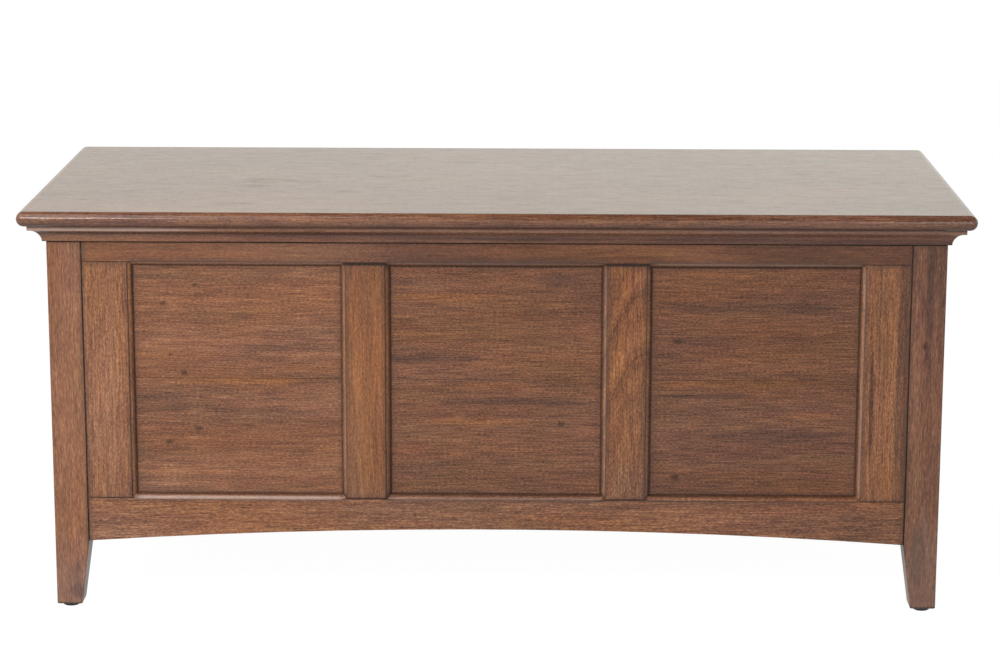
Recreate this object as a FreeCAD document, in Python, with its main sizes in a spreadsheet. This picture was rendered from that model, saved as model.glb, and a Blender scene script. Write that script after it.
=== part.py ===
import os
import re

import FreeCAD
import Part
import Sketcher
from FreeCAD import Placement, Rotation, Vector

# A frame-and-panel blanket chest: four tapered legs, stuck-and-grooved rails and stiles around flat
# recessed panels, arched bottom rails, and a hinged lid held up by a pair of folding stays.
# Millimetres and degrees. +X is to the right as seen from the front, the front faces -Y and +Z is up.
# The origin is on the floor, under the centre of the closed chest.

# Every size that can be chosen by itself.
SIZES = {
    # lid board
    "lid_width": 1219,
    "lid_depth": 546,
    "lid_thickness": 19.5,
    "lid_overhang": 33.25,
    "lid_rear_overhang": 12.75,
    "lid_corner_radius": 10,
    "nose_flat": 0.1,
    "lid_gap": 1,
    # cove moulding and frame under the lid board
    "moulding_height": 22.5,
    "moulding_reach": 28.25,
    "moulding_proud": 20.7,
    "fillet_height": 6.2,
    "fillet_round": 1.4,
    "fillet_lip": 2.8,
    "foot_bead_proud": 4.6,
    "foot_bead_height": 2.4,
    "foot_bead_round": 0.8,
    "cove_radius": 18,
    "lid_rail_width": 40,
    "batten_width": 60,
    "batten_thickness": 16,
    "batten_inset": 338,
    "batten_chamfer": 3,
    "bumper_radius": 5,
    # legs and their glides
    "leg_width": 44.5,
    "leg_length": 484.7,
    "foot_length": 86.6,
    "foot_taper": 11.5,
    "leg_edge_radius": 1.6,
    "foot_chamfer": 1.5,
    "glide_height": 5,
    "glide_radius": 11,
    "glide_rim": 1.5,
    "glide_stem_radius": 3,
    "glide_stem_length": 15,
    # rails and stiles
    "board_thickness": 22,
    "top_rail_height": 25.5,
    "bottom_rail_height": 57.8,
    "back_rail_height": 45,
    "front_arch_rise": 18,
    "side_arch_rise": 10,
    "end_stile_width": 64.5,
    "muntin_width": 63.5,
    "centre_panel_extra": 5,
    "stick_width": 6.2,
    "stick_quirk": 0.8,
    "stick_land": 1.2,
    "stick_radius": 14,
    # panels, grooves and tenons
    "panel_recess": 9,
    "panel_thickness": 6,
    "panel_fit": 0.1,
    "panel_play": 1,
    "groove_depth": 8,
    "tenon_thickness": 10,
    "tenon_setback": 6,
    "tenon_length": 25,
    "tenon_shoulder": 5,
    "mortise_spare": 1,
    # chest bottom
    "cleat_size": 18,
    "cleat_lift": 21,
    "cleat_clear": 12,
    "bottom_thickness": 9,
    "bottom_clear": 0.5,
    # butt hinges
    "hinge_length": 76,
    "knuckle_count": 5,
    "hinge_inset": 176.25,
    "leaf_width": 19,
    "leaf_thickness": 2,
    "barrel_radius": 3.5,
    "barrel_offset": 4,
    "barrel_gap": 0.15,
    "pin_radius": 1.8,
    "pin_head_radius": 2.8,
    "pin_head_height": 1.6,
    "pin_play": 0.05,
    # screws
    "screw_radius": 2,
    "screw_length": 16,
    "screw_head_radius": 3.9,
    "screw_head_height": 1.9,
    "screw_tip": 4,
    "screw_fit": 0.05,
    "hinge_screw_pitch": 26,
    # folding lid stays
    "stay_reach": 130,
    "stay_angle": 50,
    "stay_width": 16,
    "stay_thickness": 2,
    "stay_gap": 0.5,
    "stay_play": 0.1,
    "elbow_play": 0.25,
    "rivet_radius": 3,
    "rivet_head_radius": 4.5,
    "rivet_head_height": 1.2,
    "rivet_collar_radius": 5,
    "ear_radius": 9,
    "lid_plate_width": 44,
    "lid_plate_height": 20.5,
    "lid_plate_shoulder": 9,
    "lid_plate_screw_pitch": 28,
    "lid_plate_screw_drop": 5.5,
    "case_plate_width": 22,
    "case_plate_height": 46,
    "case_plate_radius": 4,
    "case_plate_screw_pitch": 30,
}

# Places and sizes that follow from them.
PLACES = {
    "case_half": "lid_width / 2 - lid_overhang",
    "case_front": "lid_overhang - lid_depth / 2",
    "case_back": "lid_depth / 2 - lid_rear_overhang",
    "case_depth": "case_back - case_front",
    "case_middle": "(case_back + case_front) / 2",
    "leg_half": "leg_width / 2",
    "leg_inner": "case_half - leg_width",
    "leg_bottom": "glide_height",
    "case_top": "glide_height + leg_length",
    "lower_edge": "glide_height + foot_length",
    "bottom_rail_top": "lower_edge + bottom_rail_height",
    "top_rail_base": "case_top - top_rail_height",
    "back_bottom_rail_top": "bottom_rail_top + stick_width",
    "back_top_rail_base": "case_top - back_rail_height",
    "groove_width": "panel_thickness + 2 * panel_fit",
    "groove_back": "panel_recess + groove_width",
    "tongue_length": "groove_depth - panel_play",
    "overrun": "groove_depth + stick_width",
    "front_rail_length": "2 * leg_inner",
    "side_rail_length": "case_depth - 2 * leg_width",
    "end_stile_centre": "leg_inner - end_stile_width / 2",
    "muntin_room": "2 * (leg_inner - end_stile_width) + muntin_width",
    "muntin_offset": "(muntin_room + 2 * centre_panel_extra) / 6",
    "side_stile_centre": "side_rail_length / 2 - end_stile_width / 2",
    "cleat_base": "lower_edge + cleat_lift",
    "cleat_top": "cleat_base + cleat_size",
    "lid_frame_base": "case_top + lid_gap",
    "lid_base": "lid_frame_base + moulding_height",
    "nose_radius": "(lid_thickness - nose_flat) / 2",
    "lid_frame_inner": "case_half - moulding_reach",
    "batten_offset": "lid_frame_inner - batten_inset",
    "hinge_offset": "case_half - hinge_inset",
    "axis_back": "case_back + barrel_offset",
    "axis_height": "case_top + lid_gap / 2",
    "knuckle_length": "hinge_length / knuckle_count",
    "stay_drop": "stay_reach * sin(stay_angle)",
    "stay_forward": "stay_reach * cos(stay_angle)",
    "lid_pivot_back": "axis_back - stay_reach",
    "case_pivot_back": "axis_back - stay_forward",
    "case_pivot_height": "axis_height - stay_drop",
    "elbow_back": "lid_pivot_back - stay_forward",
    "upper_arm_offset": "lid_frame_inner - 1.5 * stay_thickness - stay_gap",
    "lower_arm_offset": "upper_arm_offset - stay_thickness - stay_gap",
    "case_plate_face": "case_half - board_thickness - stay_thickness",
}

# How far a cutting outline runs past the wood it cuts.
PAST = 1

doc = FreeCAD.newDocument("blanket_chest")


def filled_sheet(name, cells):
    """A spreadsheet whose column B holds the cells, each under its alias."""
    sheet = doc.addObject("Spreadsheet::Sheet", name)
    for row, (alias, content) in enumerate(cells.items(), start=1):
        sheet.set(f"A{row}", alias)
        sheet.set(f"B{row}", str(content))
        sheet.setAlias(f"B{row}", alias)
    doc.recompute()
    return sheet


def bound(formula):
    """The formula with each size and place named by the sheet that holds it."""
    def with_sheet(word):
        name = word.group()
        sheet = "Sizes." if name in SIZES else "Places." if name in PLACES else ""
        return sheet + name
    return re.sub(r"[A-Za-z_]\w*", with_sheet, str(formula))


def value(formula):
    """What the formula comes to now."""
    return float(sizes.evalExpression(bound(formula)))


sizes = filled_sheet("Sizes", SIZES)
places = filled_sheet("Places", {name: "=" + bound(formula) for name, formula in PLACES.items()})

# ---------------------------------------------------------------- sketches and features

NORMALS = {"XY": 1, "YZ": 1, "XZ": -1}


def move_to(item, spot):
    """Puts the item's own origin at the spot, given as three formulas."""
    for axis, formula in zip("xyz", spot):
        item.setExpression("Placement.Base." + axis, bound(formula))


def new_body(label, across="0", back="0", height="0"):
    """A body with its own label, whose origin is at the given place."""
    body = doc.addObject("PartDesign::Body", label)
    body.Label = label
    move_to(body, (across, back, height))
    return body


def new_sketch(body, plane, offset):
    """A sketch on one of the body's own planes, moved along the matching axis by the offset."""
    sketch = body.newObject("Sketcher::SketchObject", "Outline")
    support = [item for item in body.Origin.OriginFeatures if item.Role == plane + "_Plane"]
    sketch.AttachmentSupport = [(support[0], "")]
    sketch.MapMode = "FlatFace"
    sketch.setExpression("AttachmentOffset.Base.z", bound(f"{NORMALS[plane]} * ({offset})"))
    return sketch


def bent(start, end, radius, side):
    """An arc from start to end that bulges to the left of the way along it, or right if side < 0."""
    chord = end - start
    half = chord.Length / 2
    sagitta = radius - max(radius * radius - half * half, 0) ** 0.5
    left = Vector(-chord.y, chord.x, 0) / chord.Length
    return Part.Arc(start, start + chord / 2 + left * sagitta * side, end)


def vertex_at(sketch, edge, spot):
    """Which end of the sketch's edge lies at the spot."""
    return 1 if sketch.getPoint(edge, 1).distanceToPoint(spot) < 1e-4 else 2


def draw(sketch, corners):
    """Draws a closed outline. A corner is (x, y), or (x, y, radius, side) where an arc leads to it."""
    spots = [Vector(value(corner[0]), value(corner[1]), 0) for corner in corners]
    for index, corner in enumerate(corners):
        start, end = spots[index - 1], spots[index]
        if len(corner) == 2:
            sketch.addGeometry(Part.LineSegment(start, end))
        else:
            sketch.addGeometry(bent(start, end, value(corner[2]), corner[3]))
    count = len(corners)
    rules = []
    formulas = []
    for index, corner in enumerate(corners):
        following = (index + 1) % count
        here = vertex_at(sketch, index, spots[index])
        there = vertex_at(sketch, following, spots[index])
        rules.append(Sketcher.Constraint("Coincident", index, here, following, there))
        formulas.append(None)
        rules.append(Sketcher.Constraint("DistanceX", index, here, spots[index].x))
        formulas.append(corner[0])
        rules.append(Sketcher.Constraint("DistanceY", index, here, spots[index].y))
        formulas.append(corner[1])
        if len(corner) > 2:
            rules.append(Sketcher.Constraint("Radius", index, value(corner[2])))
            formulas.append(corner[2])
    sketch.addConstraint(rules)
    for index, formula in enumerate(formulas):
        if formula is not None:
            sketch.setExpression(f"Constraints[{index}]", bound(formula))


def draw_circles(sketch, centres, radius):
    """Draws a circle of the radius round each centre."""
    for index, (across, up) in enumerate(centres):
        spot = Vector(value(across), value(up), 0)
        sketch.addGeometry(Part.Circle(spot, Vector(0, 0, 1), value(radius)))
        first = 3 * index
        sketch.addConstraint([
            Sketcher.Constraint("DistanceX", index, 3, spot.x),
            Sketcher.Constraint("DistanceY", index, 3, spot.y),
            Sketcher.Constraint("Radius", index, value(radius)),
        ])
        for step, formula in enumerate((across, up, radius)):
            sketch.setExpression(f"Constraints[{first + step}]", bound(formula))


def both_ways(body, kind, sketch, length):
    """A pad or pocket of the sketch, half of its length to each side."""
    feature = body.newObject("PartDesign::" + kind, kind)
    feature.Profile = sketch
    feature.SideType = "Symmetric"
    feature.setExpression("Length", bound(length))
    sketch.Visibility = False


def pad(body, plane, corners, length, offset="0"):
    """A pad of an outline, centred on the plane at the offset."""
    sketch = new_sketch(body, plane, offset)
    draw(sketch, corners)
    both_ways(body, "Pad", sketch, length)


def pocket(body, plane, corners, length, offset="0"):
    """A pocket of an outline, centred on the plane at the offset."""
    sketch = new_sketch(body, plane, offset)
    draw(sketch, corners)
    both_ways(body, "Pocket", sketch, length)


def pad_disc(body, plane, radius, near, far, centre=("0", "0")):
    """A round pad from near to far along the plane's axis."""
    sketch = new_sketch(body, plane, f"(({near}) + ({far})) / 2")
    draw_circles(sketch, [centre], radius)
    both_ways(body, "Pad", sketch, f"abs(({far}) - ({near}))")


def drill(body, plane, radius, near, far, centres):
    """Round holes from near to far along the plane's axis."""
    sketch = new_sketch(body, plane, f"(({near}) + ({far})) / 2")
    draw_circles(sketch, centres, radius)
    both_ways(body, "Pocket", sketch, f"abs(({far}) - ({near}))")


def box_corners(left, low, right, high):
    """The four corners of an upright rectangle."""
    return [(left, low), (right, low), (right, high), (left, high)]


def dress(body, kind, size, chosen):
    """A fillet or chamfer of the given size on each edge that chosen accepts."""
    doc.recompute()
    base = body.Tip
    names = [f"Edge{index}" for index, edge in enumerate(base.Shape.Edges, start=1) if chosen(edge)]
    feature = body.newObject("PartDesign::" + kind, kind)
    feature.Base = (base, names)
    feature.setExpression("Radius" if kind == "Fillet" else "Size", bound(size))


def runs_along(edge, axis):
    """Whether the edge is straight and parallel to the axis."""
    return edge.Curve.TypeId == "Part::GeomLine" and abs(abs(edge.Curve.Direction.dot(axis)) - 1) < 1e-6


def level_at(edge, axis, distance):
    """Whether the whole edge lies at the distance along the axis."""
    ends = [vertex.Point.dot(axis) for vertex in edge.Vertexes] + [edge.CenterOfMass.dot(axis)]
    return all(abs(end - distance) < 1e-4 for end in ends)


X_AXIS = Vector(1, 0, 0)
Y_AXIS = Vector(0, 1, 0)
Z_AXIS = Vector(0, 0, 1)


def board(label, low, size):
    """A plain rectangular board from its lowest corner."""
    box = doc.addObject("Part::Box", label)
    box.Label = label
    for name, formula in zip(("Length", "Width", "Height"), size):
        box.setExpression(name, bound(formula))
    move_to(box, low)


def turned(parts, label, spot, direction):
    """The fused parts, drawn along +Z from the origin, moved to the spot and turned to a direction."""
    whole = doc.addObject("Part::MultiFuse", label)
    whole.Label = label
    whole.Shapes = parts
    whole.Placement = Placement(Vector(), Rotation(Z_AXIS, direction))
    move_to(whole, spot)
    return whole


def cylinder(radius, low, height):
    """An upright cylinder on the Z axis."""
    piece = doc.addObject("Part::Cylinder", "Cylinder")
    piece.setExpression("Radius", bound(radius))
    piece.setExpression("Height", bound(height))
    piece.setExpression("Placement.Base.z", bound(low))
    return piece


def cone(lower_radius, upper_radius, low, height):
    """An upright cone or frustum on the Z axis."""
    piece = doc.addObject("Part::Cone", "Cone")
    piece.setExpression("Radius1", bound(lower_radius))
    piece.setExpression("Radius2", bound(upper_radius))
    piece.setExpression("Height", bound(height))
    piece.setExpression("Placement.Base.z", bound(low))
    return piece


def group(label, pieces):
    """One node of several like pieces that don't touch each other."""
    whole = doc.addObject("Part::Compound", label)
    whole.Label = label
    whole.Links = pieces


# ---------------------------------------------------------------- profiles
# A profile's corners are (out, deep): out is the distance past the face's edge, towards the panel,
# and deep is the distance behind the face.

STUCK_EDGE = [
    ("0", "0"),
    ("0", "stick_quirk"),
    ("stick_width", "panel_recess - stick_land", "stick_radius", -1),
    ("stick_width", "panel_recess"),
    ("stick_width - groove_depth", "panel_recess"),
    ("stick_width - groove_depth", "groove_back"),
    ("stick_width", "groove_back"),
    ("stick_width", "board_thickness"),
]
GROOVED_EDGE = [
    ("0", "0"),
    ("0", "panel_recess"),
    ("-groove_depth", "panel_recess"),
    ("-groove_depth", "groove_back"),
    ("0", "groove_back"),
    ("0", "board_thickness"),
]
PLAIN_EDGE = [("0", "0"), ("0", "board_thickness")]


def end_waste(out):
    """What is cut off a stile's end, so that it fits over a rail whose edge stands out that far."""
    return [
        (out, "panel_recess + panel_fit"),
        (f"{out} - tongue_length", "panel_recess + panel_fit"),
        (f"{out} - tongue_length", "groove_back - panel_fit"),
        (out, "groove_back - panel_fit"),
        (out, f"board_thickness + {PAST}"),
        (f"-overrun - {PAST}", f"board_thickness + {PAST}"),
        (f"-overrun - {PAST}", f"-{PAST}"),
        ("0", f"-{PAST}"),
    ]


COPED_END = end_waste("stick_width") + STUCK_EDGE[:3]
SQUARE_END = end_waste("0")


def mapped(profile, mapping):
    """The profile drawn through a mapping of (out, deep) to sketch axes, arcs kept convex."""
    trio = [Vector(*map(value, mapping(*spot)), 0) for spot in (("0", "0"), ("1", "0"), ("0", "1"))]
    turn = 1 if (trio[1] - trio[0]).cross(trio[2] - trio[0]).z > 0 else -1
    corners = []
    for out, deep, *arc in profile:
        bend = (arc[0], turn * arc[1]) if arc else ()
        corners.append((*mapping(out, deep), *bend))
    return corners


class CaseSide:
    """One upright side of the case: where its outer face is, and how its pieces are drawn."""

    def __init__(self, face, inward, along_x):
        self.face = face
        self.inward = inward
        self.along_x = along_x
        self.section_plane = "YZ" if along_x else "XZ"
        self.elevation_plane = "XZ" if along_x else "YZ"

    def body(self, label, along="0"):
        """A body whose origin is on the face, at the distance along it."""
        spot = (along, self.face) if self.along_x else (self.face, along)
        return new_body(label, *spot)

    def in_section(self, profile, edge, upward):
        """A profile in the section plane, its face edge at the height and out upward or downward."""
        return mapped(profile, lambda out, deep: (
            f"{self.inward} * ({deep})", f"{edge} + {upward} * ({out})"))

    def in_plan(self, profile, edge, outward):
        """A profile in the XY plane, its face edge at the place along and out one way or the other."""
        def mapping(out, deep):
            pair = (f"{edge} + {outward} * ({out})", f"{self.inward} * ({deep})")
            return pair if self.along_x else pair[::-1]
        return mapped(profile, mapping)


FRONT = CaseSide("case_front", 1, True)
BACK = CaseSide("case_back", -1, True)
LEFT = CaseSide("-case_half", 1, False)
RIGHT = CaseSide("case_half", -1, False)


def closed(first, second):
    """One outline from two edges that are both drawn from the face inwards."""
    back_again = []
    for index in range(len(second) - 1, -1, -1):
        here = second[index]
        later = second[index + 1] if index + 1 < len(second) else here
        bend = (later[2], -later[3]) if len(later) > 2 else ()
        back_again.append((here[0], here[1], *bend))
    return first + back_again


# ---------------------------------------------------------------- rails

TENONS = {
    "top": ("top_rail_base + tenon_shoulder", "case_top - tenon_shoulder"),
    "bottom": ("lower_edge + tenon_shoulder", "bottom_rail_top - tenon_shoulder"),
    "back_top": ("back_top_rail_base + groove_depth + tenon_shoulder", "case_top - tenon_shoulder"),
    "back_bottom": ("lower_edge + tenon_shoulder", "bottom_rail_top - tenon_shoulder"),
}


def rail(label, side, lower, upper, tenon, length, along="0"):
    """A rail between two edges, each (profile, height, upward), with a tenon at both ends."""
    body = side.body(label, along)
    low_edge = side.in_section(*lower)
    high_edge = side.in_section(*upper)
    pad(body, side.section_plane, closed(high_edge, low_edge), length)
    low, high = TENONS[tenon]
    front = f"{side.inward} * tenon_setback"
    rear = f"{side.inward} * (tenon_setback + tenon_thickness)"
    pad(body, side.section_plane, box_corners(front, low, rear, high), f"{length} + 2 * tenon_length")
    return body


def arch(body, side, length, rise):
    """Cuts the long low arch out of a rail's lower edge."""
    half = f"({length}) / 2"
    radius = f"(({half})^2 + {rise}^2) / (2 * {rise})"
    outline = [
        (f"-{half}", "lower_edge", radius, -1),
        (f"-{half}", f"lower_edge - {PAST}"),
        (half, f"lower_edge - {PAST}"),
        (half, "lower_edge"),
    ]
    pocket(body, side.elevation_plane, outline, "4 * board_thickness")


def face_rails(side, names, length, rise, along="0"):
    """The stuck top rail and the stuck, arched bottom rail of one side."""
    rail(names[0], side, (STUCK_EDGE, "top_rail_base", -1), (PLAIN_EDGE, "case_top", 1),
         "top", length, along)
    lower = rail(names[1], side, (PLAIN_EDGE, "lower_edge", -1), (STUCK_EDGE, "bottom_rail_top", 1),
                 "bottom", length, along)
    arch(lower, side, length, rise)


face_rails(FRONT, ("front_top_rail", "front_bottom_rail"), "front_rail_length", "front_arch_rise")
for hand, side in (("left", LEFT), ("right", RIGHT)):
    names = (f"{hand}_top_rail", f"{hand}_bottom_rail")
    face_rails(side, names, "side_rail_length", "side_arch_rise", "case_middle")

back_top_rail = rail("back_top_rail", BACK, (GROOVED_EDGE, "back_top_rail_base", -1),
                     (PLAIN_EDGE, "case_top", 1), "back_top", "front_rail_length")
rail("back_bottom_rail", BACK, (PLAIN_EDGE, "lower_edge", -1),
     (GROOVED_EDGE, "back_bottom_rail_top", 1), "back_bottom", "front_rail_length")

# ---------------------------------------------------------------- stiles


def stile(label, side, centre, width, edges, end, rails):
    """An upright between two rail edges; edges are its (lower, upper) profiles along the face."""
    low_rail, high_rail = rails
    body = side.body(label, centre)
    outlines = []
    for edge, outward in zip(edges, (-1, 1)):
        reach = "stick_width" if edge is STUCK_EDGE else "0"
        outlines.append(side.in_plan(edge, f"{outward} * ({width} / 2 - {reach})", outward))
    height = f"{high_rail} - {low_rail} + 2 * overrun"
    pad(body, "XY", closed(outlines[1], outlines[0]), height, f"({high_rail} + {low_rail}) / 2")
    wide = f"2 * {width}"
    pocket(body, side.section_plane, side.in_section(end, low_rail, 1), wide)
    pocket(body, side.section_plane, side.in_section(end, high_rail, -1), wide)
    return body


FACE_RAILS = ("bottom_rail_top", "top_rail_base")
MIDDLE = (STUCK_EDGE, STUCK_EDGE)
LOW_END = (PLAIN_EDGE, STUCK_EDGE)
HIGH_END = (STUCK_EDGE, PLAIN_EDGE)

FRONT_STILES = {
    "front_stile_left": ("-end_stile_centre", "end_stile_width", LOW_END),
    "front_muntin_left": ("-muntin_offset", "muntin_width", MIDDLE),
    "front_muntin_right": ("muntin_offset", "muntin_width", MIDDLE),
    "front_stile_right": ("end_stile_centre", "end_stile_width", HIGH_END),
}
for label, (centre, width, edges) in FRONT_STILES.items():
    stile(label, FRONT, centre, width, edges, COPED_END, FACE_RAILS)

rear_stiles = {}
for hand, side in (("left", LEFT), ("right", RIGHT)):
    stile(f"{hand}_front_stile", side, "case_middle - side_stile_centre", "end_stile_width",
          LOW_END, COPED_END, FACE_RAILS)
    rear_stiles[hand] = stile(f"{hand}_rear_stile", side, "case_middle + side_stile_centre",
                              "end_stile_width", HIGH_END, COPED_END, FACE_RAILS)

stile("back_muntin", BACK, "0", "muntin_width", (GROOVED_EDGE, GROOVED_EDGE), SQUARE_END,
      ("back_bottom_rail_top", "back_top_rail_base"))

# ---------------------------------------------------------------- panels

PANEL_LOW = "bottom_rail_top + stick_width - tongue_length"
PANEL_HIGH = "top_rail_base - stick_width + tongue_length"


def panel(label, side, start, end, low=PANEL_LOW, high=PANEL_HIGH):
    """A flat panel whose edges lie in the grooves, start and end being its sight lines."""
    deep = f"{side.face} + {side.inward} * (panel_recess + panel_fit + panel_thickness / 2)"
    first = f"{start} - tongue_length"
    span = f"({end}) - ({start}) + 2 * tongue_length"
    shallow = f"{deep} - panel_thickness / 2"
    corner = (first, shallow, low) if side.along_x else (shallow, first, low)
    spread = (span, "panel_thickness") if side.along_x else ("panel_thickness", span)
    board(label, corner, (*spread, f"({high}) - ({low})"))


CENTRE_EDGE = "(muntin_offset - muntin_width / 2)"
OUTER_EDGE = "(muntin_offset + muntin_width / 2)"
LAST_EDGE = "(leg_inner - end_stile_width)"
panel("front_panel_left", FRONT, f"-{LAST_EDGE}", f"-{OUTER_EDGE}")
panel("front_panel_centre", FRONT, f"-{CENTRE_EDGE}", CENTRE_EDGE)
panel("front_panel_right", FRONT, OUTER_EDGE, LAST_EDGE)

SIDE_EDGE = "(side_rail_length / 2 - end_stile_width)"
for hand, side in (("left", LEFT), ("right", RIGHT)):
    panel(f"{hand}_panel", side, f"case_middle - {SIDE_EDGE}", f"case_middle + {SIDE_EDGE}")

BACK_LOW = "back_bottom_rail_top - tongue_length"
BACK_HIGH = "back_top_rail_base + tongue_length"
panel("back_panel_left", BACK, "-leg_inner", "-muntin_width / 2", BACK_LOW, BACK_HIGH)
panel("back_panel_right", BACK, "muntin_width / 2", "leg_inner", BACK_LOW, BACK_HIGH)

# ---------------------------------------------------------------- legs


def leg_face(y_hand):
    """Where the outer face of a leg lies along Y."""
    return "case_back" if y_hand > 0 else "case_front"


def cut_mortise(body, plane, hand, face_hand, tenon):
    """A mortise across the plane in the leg's inner face, which is the one away from its hand."""
    low, high = TENONS[tenon]
    near = f"{face_hand} * (leg_half - tenon_setback)"
    far = f"{face_hand} * (leg_half - tenon_setback - tenon_thickness)"
    depth = "(tenon_length + mortise_spare)"
    pocket(body, plane, box_corners(near, low, far, high), depth, f"{-hand} * (leg_half - {depth} / 2)")


def leg(label, x_hand, y_hand):
    """A square leg with eased edges, a foot that tapers on its two inner faces, and its mortises."""
    body = new_body(label, f"{x_hand} * (case_half - leg_half)", f"{leg_face(y_hand)} - {y_hand} * leg_half")
    square = box_corners("-leg_half", "-leg_half", "leg_half", "leg_half")
    pad(body, "XY", square, "leg_length", "leg_bottom + leg_length / 2")
    dress(body, "Fillet", "leg_edge_radius", lambda edge: runs_along(edge, Z_AXIS))
    for plane, hand in (("XZ", x_hand), ("YZ", y_hand)):
        inner = f"{-hand} * leg_half"
        outside = f"{-hand} * (leg_half + {PAST})"
        toe = f"{-hand} * (leg_half - foot_taper)"
        wedge = [
            (inner, "lower_edge"),
            (toe, "leg_bottom"),
            (toe, f"leg_bottom - {PAST}"),
            (outside, f"leg_bottom - {PAST}"),
            (outside, "lower_edge"),
        ]
        pocket(body, plane, wedge, "2 * leg_width")
    dress(body, "Chamfer", "foot_chamfer", lambda edge: level_at(edge, Z_AXIS, value("leg_bottom")))
    for tenon in ("back_top", "back_bottom") if y_hand > 0 else ("top", "bottom"):
        cut_mortise(body, "YZ", x_hand, y_hand, tenon)
    for tenon in ("top", "bottom"):
        cut_mortise(body, "XZ", y_hand, x_hand, tenon)
    if y_hand > 0:
        rebate = box_corners("leg_half - panel_recess", BACK_LOW, "leg_half - groove_back", BACK_HIGH)
        pocket(body, "YZ", rebate, "groove_depth", f"{-x_hand} * (leg_half - groove_depth / 2)")
    toe_middle = (f"{x_hand} * foot_taper / 2", f"{y_hand} * foot_taper / 2")
    top = "leg_bottom + glide_stem_length + mortise_spare"
    drill(body, "XY", "glide_stem_radius + panel_fit", "leg_bottom", top, [toe_middle])


CORNERS = {
    "front_left": (-1, -1),
    "front_right": (1, -1),
    "rear_left": (-1, 1),
    "rear_right": (1, 1),
}
for corner, (x_hand, y_hand) in CORNERS.items():
    leg(f"{corner}_leg", x_hand, y_hand)

glides = []
for x_hand, y_hand in CORNERS.values():
    parts = [
        cone("glide_radius - glide_rim", "glide_radius", "0", "glide_rim"),
        cylinder("glide_radius", "glide_rim", "glide_height - glide_rim"),
        cylinder("glide_stem_radius", "glide_height - glide_rim", "glide_stem_length + glide_rim"),
    ]
    spot = (
        f"{x_hand} * (case_half - leg_half + foot_taper / 2)",
        f"{leg_face(y_hand)} - {y_hand} * (leg_half - foot_taper / 2)",
        "0",
    )
    glides.append(turned(parts, "Glide", spot, Z_AXIS))
group("foot_glides", glides)

# ---------------------------------------------------------------- chest bottom

INNER_HALF = "case_half - board_thickness"
for label, y_edge in (
        ("front_cleat", "case_front + board_thickness"),
        ("back_cleat", "case_back - board_thickness - cleat_size")):
    board(label, ("cleat_clear - leg_inner", y_edge, "cleat_base"),
          ("2 * (leg_inner - cleat_clear)", "cleat_size", "cleat_size"))
for label, x_edge in (
        ("left_cleat", "board_thickness - case_half"),
        ("right_cleat", "case_half - board_thickness - cleat_size")):
    board(label, (x_edge, "case_front + leg_width + cleat_clear", "cleat_base"),
          ("cleat_size", "case_depth - 2 * (leg_width + cleat_clear)", "cleat_size"))

bottom = new_body("bottom_panel", back="case_middle")
WIDE = f"({INNER_HALF} - bottom_clear)"
NARROW = "(leg_inner - bottom_clear)"
DEEP = "(case_depth / 2 - board_thickness - bottom_clear)"
SHALLOW = "(case_depth / 2 - leg_width - bottom_clear)"
QUARTER = [(WIDE, SHALLOW), (NARROW, SHALLOW), (NARROW, DEEP)]
notched = QUARTER
notched = notched + [(f"-{across}", deep) for across, deep in reversed(QUARTER)]
notched = notched + [(f"-{across}", f"-{deep}") for across, deep in QUARTER]
notched = notched + [(across, f"-{deep}") for across, deep in reversed(QUARTER)]
pad(bottom, "XY", notched, "bottom_thickness", "cleat_top + bottom_thickness / 2")

# ---------------------------------------------------------------- lid board and its frame

lid = new_body("lid_top")
lid_outline = box_corners("-lid_width / 2", "-lid_depth / 2", "lid_width / 2", "lid_depth / 2")
pad(lid, "XY", lid_outline, "lid_thickness", "lid_base + lid_thickness / 2")
dress(lid, "Fillet", "lid_corner_radius",
      lambda edge: runs_along(edge, Z_AXIS) and edge.CenterOfMass.y < 0)
dress(lid, "Fillet", "nose_radius",
      lambda edge: not runs_along(edge, Z_AXIS) and not level_at(edge, Y_AXIS, value("lid_depth / 2")))

# The moulding's section: (out past the case's face, height above the case's top).
MOULDING = [
    ("-moulding_reach", "0"),
    ("foot_bead_proud - foot_bead_round", "0"),
    ("foot_bead_proud", "foot_bead_round", "foot_bead_round", -1),
    ("foot_bead_proud", "foot_bead_height"),
    ("moulding_proud - fillet_lip", "moulding_height - fillet_height", "cove_radius", 1),
    ("moulding_proud - fillet_round", "moulding_height - fillet_height"),
    ("moulding_proud", "moulding_height - fillet_height + fillet_round", "fillet_round", -1),
    ("moulding_proud", "moulding_height"),
    ("-moulding_reach", "moulding_height"),
]
OUTER_CORNER = ("(case_half + moulding_proud)", "(case_front - moulding_proud)")
INNER_CORNER = ("(case_half - moulding_reach)", "(case_front + moulding_reach)")


def mitre_waste(x_hand, keeps_front):
    """The triangle cut off where a front and a side moulding meet at 45 degrees."""
    far = (f"{x_hand} * ({OUTER_CORNER[0]} + {PAST})", f"{OUTER_CORNER[1]} - {PAST}")
    near = (f"{x_hand} * ({INNER_CORNER[0]} - {PAST})", f"{INNER_CORNER[1]} + {PAST}")
    third = (far[0], near[1]) if keeps_front else (near[0], far[1])
    return [far, near, third]


front_moulding = new_body("lid_moulding_front")
section = mapped(MOULDING, lambda out, up: (f"case_front - ({out})", f"lid_frame_base + {up}"))
pad(front_moulding, "YZ", section, "2 * (case_half + moulding_proud)")
for x_hand in (-1, 1):
    pocket(front_moulding, "XY", mitre_waste(x_hand, True), "4 * moulding_height",
           "lid_frame_base + moulding_height / 2")

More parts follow.
